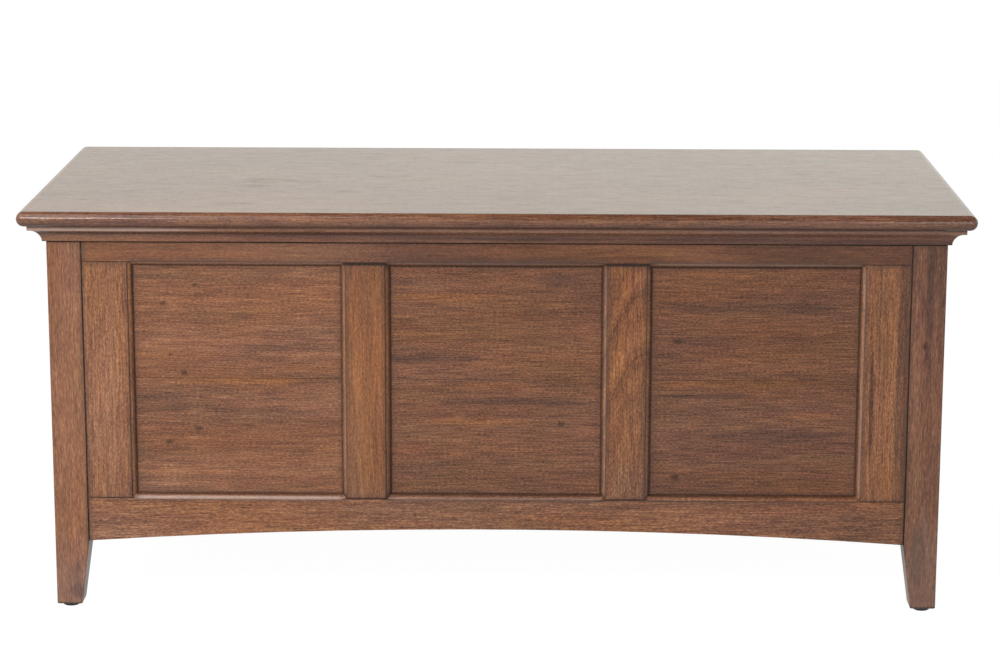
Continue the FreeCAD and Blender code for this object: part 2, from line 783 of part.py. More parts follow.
side_mouldings = {}
for hand, x_hand in (("left", -1), ("right", 1)):
    body = new_body(f"lid_moulding_{hand}")
    section = mapped(MOULDING, lambda out, up: (
        f"{x_hand} * (case_half + ({out}))", f"lid_frame_base + {up}"))
    span = "(case_back - case_front + moulding_proud)"
    pad(body, "XZ", section, span, f"case_back - {span} / 2")
    pocket(body, "XY", mitre_waste(x_hand, False), "4 * moulding_height",
           "lid_frame_base + moulding_height / 2")
    side_mouldings[hand] = body

lid_rear_rail = new_body("lid_rear_rail")
pad(lid_rear_rail, "YZ",
    box_corners("case_back - lid_rail_width", "lid_frame_base", "case_back", "lid_base"),
    "2 * lid_frame_inner")

for hand, x_hand in (("left", -1), ("right", 1)):
    batten = new_body(f"lid_batten_{hand}")
    centre = f"{x_hand} * batten_offset"
    section = [
        (f"{centre} - batten_width / 2", "lid_base"),
        (f"{centre} - batten_width / 2", "lid_base - batten_thickness + batten_chamfer"),
        (f"{centre} - batten_width / 2 + batten_chamfer", "lid_base - batten_thickness"),
        (f"{centre} + batten_width / 2 - batten_chamfer", "lid_base - batten_thickness"),
        (f"{centre} + batten_width / 2", "lid_base - batten_thickness + batten_chamfer"),
        (f"{centre} + batten_width / 2", "lid_base"),
    ]
    start = "(case_front + moulding_reach)"
    end = "(case_back - lid_rail_width)"
    pad(batten, "XZ", section, f"{end} - {start}", f"({end} + {start}) / 2")

bumpers = []
for x_hand, y_hand in CORNERS.values():
    spot = (f"{x_hand} * (case_half - leg_half)", f"{leg_face(y_hand)} - {y_hand} * leg_half", "case_top")
    bumpers.append(turned([cylinder("bumper_radius", "0", "lid_gap / 2"),
                           cone("bumper_radius", "bumper_radius - lid_gap / 2", "lid_gap / 2",
                                "lid_gap / 2")], "Bumper", spot, Z_AXIS))
group("lid_bumpers", bumpers)

# ---------------------------------------------------------------- screws and hinges


def screw(spot, direction):
    """A countersunk screw whose head is flush at the spot, driven along the direction."""
    parts = [
        cone("screw_head_radius", "screw_radius", "0", "screw_head_height"),
        cylinder("screw_radius", "screw_head_height", "screw_length - screw_head_height - screw_tip"),
        cone("screw_radius", "screw_radius / 4", "screw_length - screw_tip", "screw_tip"),
    ]
    return turned(parts, "Screw", spot, direction)


def pilot_holes(body, plane, start, into, centres):
    """The holes that a row of screws stands in, from the start into the wood."""
    end = f"{start} + {into} * (screw_length + mortise_spare)"
    drill(body, plane, "screw_radius + screw_fit", start, end, centres)


def countersunk_holes(body, plane, face, inward, thickness, centres):
    """Screw holes through a plate, countersunk at its face."""
    behind = f"{face} + {inward} * ({thickness})"
    drill(body, plane, "screw_radius + screw_fit", face, behind, centres)
    axis = {"XY": Z_AXIS, "YZ": X_AXIS, "XZ": Y_AXIS}[plane]
    radius = value("screw_radius + screw_fit")

    def is_rim(edge):
        round_rim = edge.Curve.TypeId == "Part::GeomCircle" and abs(edge.Curve.Radius - radius) < 1e-4
        return round_rim and level_at(edge, axis, value(face))
    dress(body, "Chamfer", "screw_head_radius - screw_radius", is_rim)


def hinge_leaf(label, centre, face, upward, kept):
    """A leaf let into the wood at the face, with the kept ones of five knuckles round the pin."""
    body = new_body(label, centre)
    inside = f"{face} + {upward} * leaf_thickness"
    pad(body, "YZ", box_corners("case_back - leaf_width", face, "axis_back", inside), "hinge_length")
    pad_disc(body, "YZ", "barrel_radius", "-hinge_length / 2", "hinge_length / 2",
             ("axis_back", "axis_height"))
    for index in range(SIZES["knuckle_count"]):
        if index in kept:
            continue
        middle = f"({index} - (knuckle_count - 1) / 2) * knuckle_length"
        half = "(knuckle_length / 2 + barrel_gap)"
        gap = box_corners(f"{middle} - {half}", "axis_height - 2 * barrel_radius",
                          f"{middle} + {half}", "axis_height + 2 * barrel_radius")
        reach = "(barrel_offset + 2 * barrel_radius)"
        pocket(body, "XZ", gap, reach, f"case_back + {reach} / 2")
    drill(body, "YZ", "pin_radius + pin_play", "-hinge_length / 2", "hinge_length / 2",
          [("axis_back", "axis_height")])
    centres = [(f"{step} * hinge_screw_pitch", "case_back - leaf_width / 2") for step in (-1, 0, 1)]
    countersunk_holes(body, "XY", face, upward, "leaf_thickness", centres)


def let_in(body, centre, rear_edge, face, upward):
    """The recess for a hinge leaf and the pilot holes under it, rear_edge in the body's own frame."""
    room = box_corners(f"{centre} - hinge_length / 2", f"{rear_edge} - leaf_width",
                       f"{centre} + hinge_length / 2", f"{rear_edge} + {PAST}")
    pocket(body, "XY", room, "2 * leaf_thickness", face)
    centres = [(f"{centre} + {step} * hinge_screw_pitch", f"{rear_edge} - leaf_width / 2")
               for step in (-1, 0, 1)]
    pilot_holes(body, "XY", face, upward, centres)


case_screws = []
lid_screws = []
for hand, x_hand in (("left", -1), ("right", 1)):
    centre = f"{x_hand} * hinge_offset"
    hinge_leaf(f"hinge_case_leaf_{hand}", centre, "case_top", -1, (0, 2, 4))
    hinge_leaf(f"hinge_lid_leaf_{hand}", centre, "lid_frame_base", 1, (1, 3))
    let_in(lid_rear_rail, centre, "case_back", "lid_frame_base", 1)
    let_in(back_top_rail, centre, "0", "case_top", -1)
    for step in (-1, 0, 1):
        across = f"{centre} + {step} * hinge_screw_pitch"
        behind = "case_back - leaf_width / 2"
        case_screws.append(screw((across, behind, "case_top"), -Z_AXIS))
        lid_screws.append(screw((across, behind, "lid_frame_base"), Z_AXIS))
    turned([
        cylinder("pin_radius", "-hinge_length / 2", "hinge_length"),
        cone("pin_head_radius", "pin_head_radius / 2", "hinge_length / 2", "pin_head_height"),
        cone("pin_head_radius / 2", "pin_head_radius", "-hinge_length / 2 - pin_head_height",
             "pin_head_height"),
    ], f"hinge_pin_{hand}", (centre, "axis_back", "axis_height"), X_AXIS)

# ---------------------------------------------------------------- folding lid stays
# The hinge axis, the pivot on the case, the pivot on the lid and the elbow are the corners of a
# rhombus, so the lower arm turns with the lid and the upper arm keeps its direction in the case.


def rivet(body, x_hand, start, end, heads):
    """A rivet's shank from start to end, with a head past each of the named ends."""
    pad_disc(body, "YZ", "rivet_radius", f"{x_hand} * ({start})", f"{x_hand} * ({end})")
    for edge, way in heads:
        pad_disc(body, "YZ", "rivet_head_radius", f"{x_hand} * ({edge})",
                 f"{x_hand} * ({edge} + {way} * rivet_head_height)")


def arm(label, x_hand, offset, back, height, elbow_hole):
    """A flat round-ended arm that reaches forward from its own pivot to the elbow."""
    body = new_body(label, back=back, height=height)
    half = "stay_width / 2"
    corners = [
        ("0", f"-{half}"),
        (half, "0", half, -1),
        ("0", half, half, -1),
        ("-stay_reach", half),
        (f"-stay_reach - {half}", "0", half, -1),
        ("-stay_reach", f"-{half}", half, -1),
    ]
    middle = f"{x_hand} * {offset}"
    pad(body, "YZ", corners, "stay_thickness", middle)
    through = (f"{middle} - stay_thickness", f"{middle} + stay_thickness")
    drill(body, "YZ", "rivet_radius + pin_play", *through, [("0", "0")])
    drill(body, "YZ", elbow_hole, *through, [("-stay_reach", "0")])
    return body


for hand, x_hand in (("left", -1), ("right", 1)):
    # lid plate, with the upper arm's pivot
    lid_plate = new_body(f"stay_lid_bracket_{hand}", back="lid_pivot_back", height="axis_height")
    corners = [
        ("-ear_radius", "0"),
        ("0", "-ear_radius", "ear_radius", -1),
        ("ear_radius", "0", "ear_radius", -1),
        ("lid_plate_width / 2", "lid_plate_shoulder"),
        ("lid_plate_width / 2", "lid_plate_height"),
        ("-lid_plate_width / 2", "lid_plate_height"),
        ("-lid_plate_width / 2", "lid_plate_shoulder"),
    ]
    plate_face = "(lid_frame_inner - stay_thickness)"
    pad(lid_plate, "YZ", corners, "stay_thickness", f"{x_hand} * ({plate_face} + stay_thickness / 2)")
    pad_disc(lid_plate, "YZ", "rivet_collar_radius", f"{x_hand} * {plate_face}",
             f"{x_hand} * ({plate_face} - stay_gap + stay_play)")
    rivet(lid_plate, x_hand, plate_face, "upper_arm_offset - stay_thickness / 2 - stay_play",
          [("upper_arm_offset - stay_thickness / 2 - stay_play", -1)])
    screw_height = "(lid_plate_height - lid_plate_screw_drop)"
    centres = [(f"{step} * lid_plate_screw_pitch / 2", screw_height) for step in (-1, 1)]
    countersunk_holes(lid_plate, "YZ", f"{x_hand} * {plate_face}", x_hand, "stay_thickness", centres)
    wood_centres = [(f"lid_pivot_back + {across}", f"axis_height + {up}") for across, up in centres]
    pilot_holes(side_mouldings[hand], "YZ", f"{x_hand} * {plate_face}", x_hand, wood_centres)
    for back, height in wood_centres:
        lid_screws.append(screw((f"{x_hand} * {plate_face}", back, height), X_AXIS * x_hand))

    # case plate, with the lower arm's pivot
    case_plate = new_body(f"stay_case_bracket_{hand}", back="case_pivot_back", height="case_pivot_height")
    half_wide = "case_plate_width / 2"
    half_high = "case_plate_height / 2"
    pad(case_plate, "YZ", box_corners(f"-{half_wide}", f"-{half_high}", half_wide, half_high),
        "stay_thickness", f"{x_hand} * (case_plate_face + stay_thickness / 2)")
    dress(case_plate, "Fillet", "case_plate_radius", lambda edge: runs_along(edge, X_AXIS))
    pad_disc(case_plate, "YZ", "rivet_collar_radius", f"{x_hand} * case_plate_face",
             f"{x_hand} * (lower_arm_offset + stay_thickness / 2 + stay_play)")
    rivet(case_plate, x_hand, "case_plate_face", "lower_arm_offset - stay_thickness / 2 - stay_play",
          [("lower_arm_offset - stay_thickness / 2 - stay_play", -1)])
    centres = [("0", f"{step} * case_plate_screw_pitch / 2") for step in (-1, 1)]
    countersunk_holes(case_plate, "YZ", f"{x_hand} * case_plate_face", x_hand, "stay_thickness",
                      centres)
    wood_centres = [("case_pivot_back", f"case_pivot_height + {up}") for across, up in centres]
    stile_centre = "(case_middle + side_stile_centre)"
    in_stile = [(f"{back} - {stile_centre}", height) for back, height in wood_centres]
    pilot_holes(rear_stiles[hand], "YZ", f"{-x_hand} * (board_thickness + stay_thickness)", x_hand,
                in_stile)
    for back, height in wood_centres:
        case_screws.append(screw((f"{x_hand} * case_plate_face", back, height), X_AXIS * x_hand))

    # arms and elbow
    upper = arm(f"stay_upper_arm_{hand}", x_hand, "upper_arm_offset", "lid_pivot_back", "axis_height",
                "rivet_radius + elbow_play")
    upper.Placement = Placement(Vector(), Rotation(X_AXIS, value("stay_angle")))
    upper.setExpression("Placement.Rotation.Angle", bound("stay_angle"))
    arm(f"stay_lower_arm_{hand}", x_hand, "lower_arm_offset", "case_pivot_back", "case_pivot_height",
        "rivet_radius + pin_play")
    elbow = new_body(f"stay_elbow_rivet_{hand}", back="elbow_back", height="case_pivot_height")
    outer_end = "upper_arm_offset + stay_thickness / 2 + stay_play"
    inner_end = "lower_arm_offset - stay_thickness / 2 - stay_play"
    rivet(elbow, x_hand, inner_end, outer_end, [(outer_end, 1), (inner_end, -1)])

group("case_screws", case_screws)
group("lid_screws", lid_screws)

# ---------------------------------------------------------------- checks and export

doc.recompute()

failed = [item.Name for item in doc.Objects if {"Invalid", "Error"} & set(item.State)]
if failed:
    raise RuntimeError(f"these objects failed: {failed}")
for item in doc.Objects:
    if item.TypeId == "PartDesign::Pocket" and item.Shape.Volume > item.BaseFeature.Shape.Volume - 0.01:
        raise RuntimeError(f"{item.Name} in {item.getParentGeoFeatureGroup().Label} cuts nothing")

used = {part for whole in doc.Objects if whole.TypeId in ("Part::MultiFuse", "Part::Compound")
        for part in whole.OutList}
WHOLE_TYPES = ("PartDesign::Body", "Part::Box", "Part::MultiFuse", "Part::Compound")
nodes = [item for item in doc.Objects if item.TypeId in WHOLE_TYPES and item not in used]
os.makedirs("parts", exist_ok=True)
for node in nodes:
    if node.Shape.isNull() or not node.Shape.isValid():
        raise RuntimeError(f"{node.Label} has no valid shape")
    node.Shape.exportStep(f"parts/{node.Label}.step")
print(len(nodes), "nodes written")
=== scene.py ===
"""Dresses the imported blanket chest: eased boards, stained and glazed wood, plated fittings, studio."""
import logging
import math
from dataclasses import dataclass, replace
from enum import Enum
from functools import reduce
from typing import Callable, Iterable, Sequence

import bmesh
import bpy
from mathutils import Matrix, Vector


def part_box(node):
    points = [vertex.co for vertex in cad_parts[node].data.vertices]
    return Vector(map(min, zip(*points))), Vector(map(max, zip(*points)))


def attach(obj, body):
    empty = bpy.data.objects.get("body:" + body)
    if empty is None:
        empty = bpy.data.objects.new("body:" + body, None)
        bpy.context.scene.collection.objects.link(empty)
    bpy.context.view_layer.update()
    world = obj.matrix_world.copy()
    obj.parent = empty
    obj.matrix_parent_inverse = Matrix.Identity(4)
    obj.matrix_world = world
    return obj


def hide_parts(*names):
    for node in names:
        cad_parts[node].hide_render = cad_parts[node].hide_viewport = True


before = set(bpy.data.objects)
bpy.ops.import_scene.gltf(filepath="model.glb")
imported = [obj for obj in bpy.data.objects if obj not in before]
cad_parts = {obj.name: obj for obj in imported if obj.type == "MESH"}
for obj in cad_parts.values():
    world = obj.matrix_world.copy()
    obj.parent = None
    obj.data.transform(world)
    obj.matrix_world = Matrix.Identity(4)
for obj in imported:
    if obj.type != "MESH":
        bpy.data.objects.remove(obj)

LOG = logging.getLogger("blanket_chest")
MM = 0.001
STICKING = 6.2 * MM  # the width of the moulded edge that is worked on the frame round each panel
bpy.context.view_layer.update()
Colour = tuple[float, float, float]
Spot = tuple[float, float, float]
Sides = tuple[float, float, float, float]


def shade(red: int, green: int, blue: int) -> Colour:
    """Turns a colour written as on a screen, 0 to 255, into the linear one that a shader takes.

    Args:
        red: The red level.
        green: The green level.
        blue: The blue level.

    Returns:
        The three linear levels, 0 to 1.
    """
    def linear(level: int) -> float:
        """One level made linear."""
        part = level / 255
        return part / 12.92 if part <= 0.04045 else ((part + 0.055) / 1.055) ** 2.4
    return linear(red), linear(green), linear(blue)


# ------------------------------------------------------------------ shader tools


class Signal:
    """A number that varies over a surface: a socket that can stand in a sum."""

    def __init__(self, tree: "Tree", socket: bpy.types.NodeSocket) -> None:
        """Wraps a socket of the tree."""
        self.tree = tree
        self.socket = socket

    def _with(self, operation: str, first: object, second: object) -> "Signal":
        """A Math node of two operands, each a signal or a number."""
        node = self.tree.node("ShaderNodeMath", {"operation": operation}, {0: first, 1: second})
        return Signal(self.tree, node.outputs[0])

    def __add__(self, other: object) -> "Signal":
        """This plus the other."""
        return self._with("ADD", self, other)

    def __radd__(self, other: object) -> "Signal":
        """The other plus this."""
        return self._with("ADD", other, self)

    def __sub__(self, other: object) -> "Signal":
        """This less the other."""
        return self._with("SUBTRACT", self, other)

    def __rsub__(self, other: object) -> "Signal":
        """The other less this."""
        return self._with("SUBTRACT", other, self)

    def __mul__(self, other: object) -> "Signal":
        """This times the other."""
        return self._with("MULTIPLY", self, other)

    def __rmul__(self, other: object) -> "Signal":
        """The other times this."""
        return self._with("MULTIPLY", other, self)

    def __truediv__(self, other: object) -> "Signal":
        """This over the other."""
        return self._with("DIVIDE", self, other)

    def __abs__(self) -> "Signal":
        """The size of this, without its sign."""
        return self._with("ABSOLUTE", self, 0.0)

    def least(self, other: object) -> "Signal":
        """The smaller of this and the other."""
        return self._with("MINIMUM", self, other)

    def most(self, other: object) -> "Signal":
        """The larger of this and the other."""
        return self._with("MAXIMUM", self, other)

    def length(self, other: "Signal") -> "Signal":
        """The long side of the right triangle whose short sides are this and the other."""
        return self._with("POWER", self * self + other * other, 0.5)

    def swing(self, reach: float) -> "Signal":
        """A noise round a half turned into one that swings about 0, as far as the reach."""
        return (self - 0.5) * reach

    def rise(self, start: float, end: float) -> "Signal":
        """A soft step from 0 at the start to 1 at the end, whichever of the two is higher.

        Args:
            start: Where the step is 0.
            end: Where it is 1.

        Returns:
            The step.
        """
        node = self.tree.node(
            "ShaderNodeMapRange", {"interpolation_type": "SMOOTHSTEP"},
            {"Value": self, "From Min": min(start, end), "From Max": max(start, end),
             "To Min": float(start > end), "To Max": float(start < end)})
        return Signal(self.tree, node.outputs["Result"])


class Tree:
    """A node tree of a material or the world, and the ways to add nodes to it."""

    def __init__(self, tree: bpy.types.NodeTree) -> None:
        """Takes a tree and empties it."""
        self.tree = tree
        tree.nodes.clear()

    def node(self, kind: str, settings: dict, values: dict) -> bpy.types.Node:
        """Adds any node.

        Args:
            kind: The node's type.
            settings: Its own properties, set first.
            values: What its sockets get: a signal, a socket to link, or a constant.

        Returns:
            The new node.
        """
        node = self.tree.nodes.new(kind)
        for name, value in settings.items():
            setattr(node, name, value)
        for name, value in values.items():
            self.feed(node.inputs[name], value)
        return node

    def feed(self, socket: bpy.types.NodeSocket, value: object) -> None:
        """Links a signal or a socket to the socket, or sets a constant on it.

        Args:
            socket: The socket that takes it.
            value: A signal, a socket, or a constant.
        """
        if isinstance(value, Signal):
            self.tree.links.new(value.socket, socket)
        elif isinstance(value, bpy.types.NodeSocket):
            self.tree.links.new(value, socket)
        elif isinstance(value, tuple) and socket.type == "RGBA":
            socket.default_value = (*value, 1.0)
        else:
            socket.default_value = value

    def signal(self, kind: str, output: str) -> Signal:
        """A named output of a new node that takes nothing in."""
        return Signal(self, self.node(kind, {}, {}).outputs[output])

    def parts(self, output: str) -> dict[str, Signal]:
        """The three parts of a texture coordinate.

        Args:
            output: The coordinate's name.

        Returns:
            The parts, by their letters.
        """
        node = self.node("ShaderNodeTexCoord", {}, {})
        split = self.node("ShaderNodeSeparateXYZ", {}, {0: node.outputs[output]})
        return {letter: Signal(self, split.outputs[letter]) for letter in "XYZ"}

    def mix(self, factor: Signal, first: object, second: object) -> bpy.types.NodeSocket:
        """One colour laid over another.

        Args:
            factor: How much of the second shows.
            first: The colour below.
            second: The colour above.

        Returns:
            The mixed colour.
        """
        node = self.node("ShaderNodeMix", {"data_type": "RGBA"}, {})
        colours = [socket for socket in node.inputs if socket.type == "RGBA"]
        self.feed(node.inputs[0], factor)
        self.feed(colours[0], first)
        self.feed(colours[1], second)
        return next(socket for socket in node.outputs if socket.type == "RGBA")

    def background_view(self) -> Signal:
        """1 where the camera or a clear piece looks on, else 0."""
        return (self.signal("ShaderNodeLightPath", "Is Camera Ray")
                + self.signal("ShaderNodeLightPath", "Is Transmission Ray")).least(1.0)


@dataclass(frozen=True)
class Layer:
    """One layer of noise on a surface: its swells per metre in each direction, and how rough they are.

    Its detail is how many finer layers it holds, its roughness how strong those are, and its weight how far
    it swings what it is laid on.
    """

    swells: Spot
    detail: float = 2.0
    roughness: float = 0.5
    weight: float = 1.0


class Shader(Tree):
    """A new material with a Principled surface."""

    def __init__(self, name: str) -> None:
        """Makes the material with only its surface and its output.

        Args:
            name: The material's name.
        """
        self.material = bpy.data.materials.new(name)
        self.material.use_nodes = True
        super().__init__(self.material.node_tree)
        self.surface = self.node("ShaderNodeBsdfPrincipled", {}, {})
        self.node("ShaderNodeOutputMaterial", {}, {"Surface": self.surface.outputs[0]})
        self.place = self.parts("Object")
        self.relief: dict[str, bpy.types.NodeSocket] = {}

    def set(self, **values: object) -> None:
        """Feeds the surface's sockets, underscores in the names standing for spaces."""
        for name, value in values.items():
            self.feed(self.surface.inputs[name.replace("_", " ")], value)

    def vector(self, first: object, second: object, third: object) -> bpy.types.NodeSocket:
        """A vector of three parts, each a signal or a number."""
        return self.node("ShaderNodeCombineXYZ", {}, {0: first, 1: second, 2: third}).outputs[0]

    def scaled(self, parts: bpy.types.NodeSocket, by: Spot) -> bpy.types.NodeSocket:
        """A vector or a colour, each of its parts times that of the other."""
        return self.node("ShaderNodeVectorMath", {"operation": "MULTIPLY"}, {0: parts, 1: by}).outputs[0]

    def noise(self, vector: bpy.types.NodeSocket, layer: Layer) -> Signal:
        """Soft noise, 0 to 1 round a half.

        Args:
            vector: Where on the surface.
            layer: How the noise swells.

        Returns:
            The noise.
        """
        node = self.node("ShaderNodeTexNoise", {"noise_dimensions": "3D"}, {
            "Vector": self.scaled(vector, layer.swells), "Scale": 1.0, "Detail": layer.detail,
            "Roughness": layer.roughness})
        return Signal(self, node.outputs[0])

    def ramp(self, signal: Signal, stops: Sequence[tuple[float, Colour]]) -> bpy.types.NodeSocket:
        """A colour that goes through the stops as the signal goes from 0 to 1.

        Args:
            signal: How far along the ramp a spot is.
            stops: Each stop's place and colour.

        Returns:
            The colour.
        """
        node = self.node("ShaderNodeValToRGB", {}, {"Fac": signal})
        elements = node.color_ramp.elements
        while len(elements) < len(stops):
            elements.new(1.0)
        for element, (position, colour) in zip(elements, stops):
            element.position = position
            element.color = (*colour, 1.0)
        return node.outputs["Color"]

    def bump(self, height: Signal, depth: float, strength: float = 1.0) -> None:
        """Roughens the surface by the height, over any relief that it already has.

        Args:
            height: The relief, 0 to 1.
            depth: What 1 stands for, in metres.
            strength: How much of it is felt.
        """
        node = self.node("ShaderNodeBump", {},
                         {"Height": height, "Distance": depth, "Strength": strength, **self.relief})
        self.relief = {"Normal": node.outputs[0]}
        self.feed(self.surface.inputs["Normal"], node.outputs[0])


# ------------------------------------------------------------------ finishes


class Grain(Enum):
    """Which way a board's grain runs: along the grain, across its face, and through it."""

    FRONT_LEVEL = "XZY"
    FRONT_UPRIGHT = "ZXY"
    SIDE_LEVEL = "YZX"
    SIDE_UPRIGHT = "ZYX"
    FLAT_LENGTHWISE = "XYZ"
    FLAT_CROSSWISE = "YXZ"


@dataclass(frozen=True)
class Stain:
    """The colours of a stained wood from the darkest grain to the lightest, of its glaze, and its pale tint
    for wear and for painted highlights.
    """

    shades: tuple[tuple[float, Colour], ...]
    glaze: Colour
    cloud: Colour
    # pale colour both for rubbed wear and dust and for painted highlights
    pale_tint: Colour

    def warmed(self, gold: float) -> tuple[tuple[float, Colour], ...]:
        """The shades, more golden where gold is above 0 and greyer where it is below."""
        return tuple((place, (red * (1 + 0.03 * gold), green * (1 - 0.02 * gold), blue * (1 - 0.15 * gold)))
                     for place, (red, green, blue) in self.shades)


BROWN_STAIN = Stain(
    shades=((0.0, shade(66, 42, 31)), (0.33, shade(113, 73, 53)),
            (0.62, shade(147, 99, 70)), (1.0, shade(190, 136, 94))),
    glaze=shade(44, 23, 12),
    cloud=shade(80, 58, 48),
    pale_tint=shade(198, 172, 158),
)
# the lid's cloud colour, also the colour of the painted shade on the underside of its nose
LID_STAIN = replace(BROWN_STAIN, cloud=shade(64, 45, 41))
CEDAR = Stain(
    shades=((0.0, shade(132, 82, 56)), (0.4, shade(174, 120, 84)),
            (0.7, shade(200, 150, 110)), (1.0, shade(222, 182, 140))),
    glaze=shade(100, 66, 46),
    cloud=shade(160, 108, 78),
    pale_tint=shade(226, 194, 160),
)
THIN_STAIN = Stain(
    shades=((0.0, shade(100, 68, 48)), (0.4, shade(140, 100, 72)),
            (0.7, shade(162, 120, 88)), (1.0, shade(186, 144, 108))),
    glaze=shade(64, 46, 36),
    cloud=shade(120, 90, 70),
    pale_tint=shade(200, 170, 140),
)


GOLD_REACH = 2.0  # how golden the warmest grain of a board is, and how grey the coolest
GREENED, REDDENED = (0.96, 1.03, 1.0), (1.04, 0.97, 1.0)  # tints that a board drifts between
BOARD_SPACING = 0.731  # how far apart in the tree two boards with neighbouring seeds lie, in metres
KNOT_SWERVE = 4 * MM  # how far the grain goes round a knot
KNOT_COVER = 0.7  # how much of a knot is dark
LINE_EDGE = (1.5, 0.6)  # where a glaze line ends and where it is full, in its own widths
CLOUD_EDGE = (1.0, 0.0)  # the same for wiped glaze
VEIL_EDGE = (1.15, 0.45)  # the same for a soft patch
QUIRK_DEPTH = 0.15 * MM  # how deep the fine grooves beside the moulded edges are
GRAIN_DEPTH = 0.1 * MM  # how deep the open grain is

WANDER = Layer((2.2, 6, 6), weight=20 * MM)
PATCHES = Layer((3.2, 10, 10), 3.0, 0.6, 0.40)
BANDS = Layer((2.0, 36, 36), 3.0, 0.6, 0.45)
STREAKS = Layer((4.5, 110, 110), 2.0, 0.55, 0.55)
FIBRES = Layer((30, 720, 720), 1.0, weight=0.85)
SHORT_FLECKS = Layer((250, 860, 860), 1.0, 0.6)
LONG_FLECKS = replace(SHORT_FLECKS, swells=(150, 860, 860))
PORES = Layer((90, 950, 950), 1.0, weight=0.16)
HAZE = Layer((6, 34, 34), 3.0, 0.65, 0.38)
WARMTH = Layer((3.0, 18, 18), weight=1.3)
BLUSH = Layer((6.0, 45, 45), 4.0, 0.7, 2.6)
SMEARS = Layer((30, 90, 90), 3.0, 0.7)


@dataclass(frozen=True)
class Seam:
    """A plane across one axis with a dark line and its soft shadow: mostly glaze gathered in a joint, but
    painted shade along the legs' feet and under the lid's nose.

    Its depth is how much of the shadow shows, and dark how much of the line.
    """

    axis: str
    place: float
    line: float = 0.8 * MM
    cloud: float = 9 * MM
    depth: float = 0.5
    dark: float = 0.85


@dataclass(frozen=True)
class Opening:
    """A panel's opening in a frame: its middle and half sizes on two axes, seen square on.

    Its painted highlight is how far the moulded edge is painted pale, as where it would catch the light, on
    its lower, upper, left and right side. Along the edge's outer and inner side run glaze lines, the groove's
    and the rebate's, and from them wiped glaze reaches out over the frame and shadow in over the edge.
    """

    axes: str
    middle: tuple[float, float]
    half: tuple[float, float]
    # painted highlight on the moulded edge's lower, upper, left and right side
    painted_highlight: Sides = (0.25, 0.2, 0.1, 0.1)
    groove: float = 0.7 * MM
    rebate: float = 1.3 * MM
    wiped: float = 8 * MM
    shadow: float = 4 * MM

    def sides(self) -> Iterable[tuple[float, int, float]]:
        """The lower, upper, left and right side: each one's painted highlight, its axis and its hand on that
        axis.
        """
        return zip(self.painted_highlight, (1, 1, 0, 0), (-1.0, 1.0, -1.0, 1.0))

    def seams(self, line: float, depth: float = 0.5, dark: float = 0.85) -> tuple[Seam, ...]:
        """The four seams where a panel goes into its frame.

        Args:
            line: How wide their lines are.
            depth: How much of their shadows shows.
            dark: How much of their lines shows.

        Returns:
            The seams.
        """
        return tuple(Seam(axis, middle + hand * half, line, depth=depth, dark=dark)
                     for axis, middle, half in zip(self.axes, self.middle, self.half) for hand in (-1, 1))


@dataclass(frozen=True)
class Knot:
    """A small dark spot, a knot or gathered glaze: its place along and across the face, and its reach."""

    along: float
    across: float
    reach: float = 6 * MM


@dataclass(frozen=True)
class Veil:
    """A soft patch of a board that differs from the rest: where it is, and how far it goes each way.

    Its tone is how much lighter it is, its gold how much warmer, its grey how far it takes the glaze's cloud
    colour, its pale tint how far it is made pale, by wear and dust on some boards and as a painted highlight
    on others, and its dull how much rougher it is. Some veils paint light and shade, as on the lid's front
    moulding.
    """

    along: float
    across: float
    length: float
    width: float
    tone: float = 0.0
    gold: float = 0.0
    grey: float = 0.0
    pale_tint: float = 0.0
    dull: float = 0.0


@dataclass(frozen=True)
class Arch:
    """One arch of a flat-sawn figure: the height of its top, how far it reaches, and how light it is."""

    top: float
    reach: float
    shade: float


@dataclass(frozen=True)
class Flame:
    """A flat-sawn figure of arches: where their tops are across the board, and how steep they are."""

    across: float
    arches: tuple[Arch, ...]
    steepness: float = 28.0


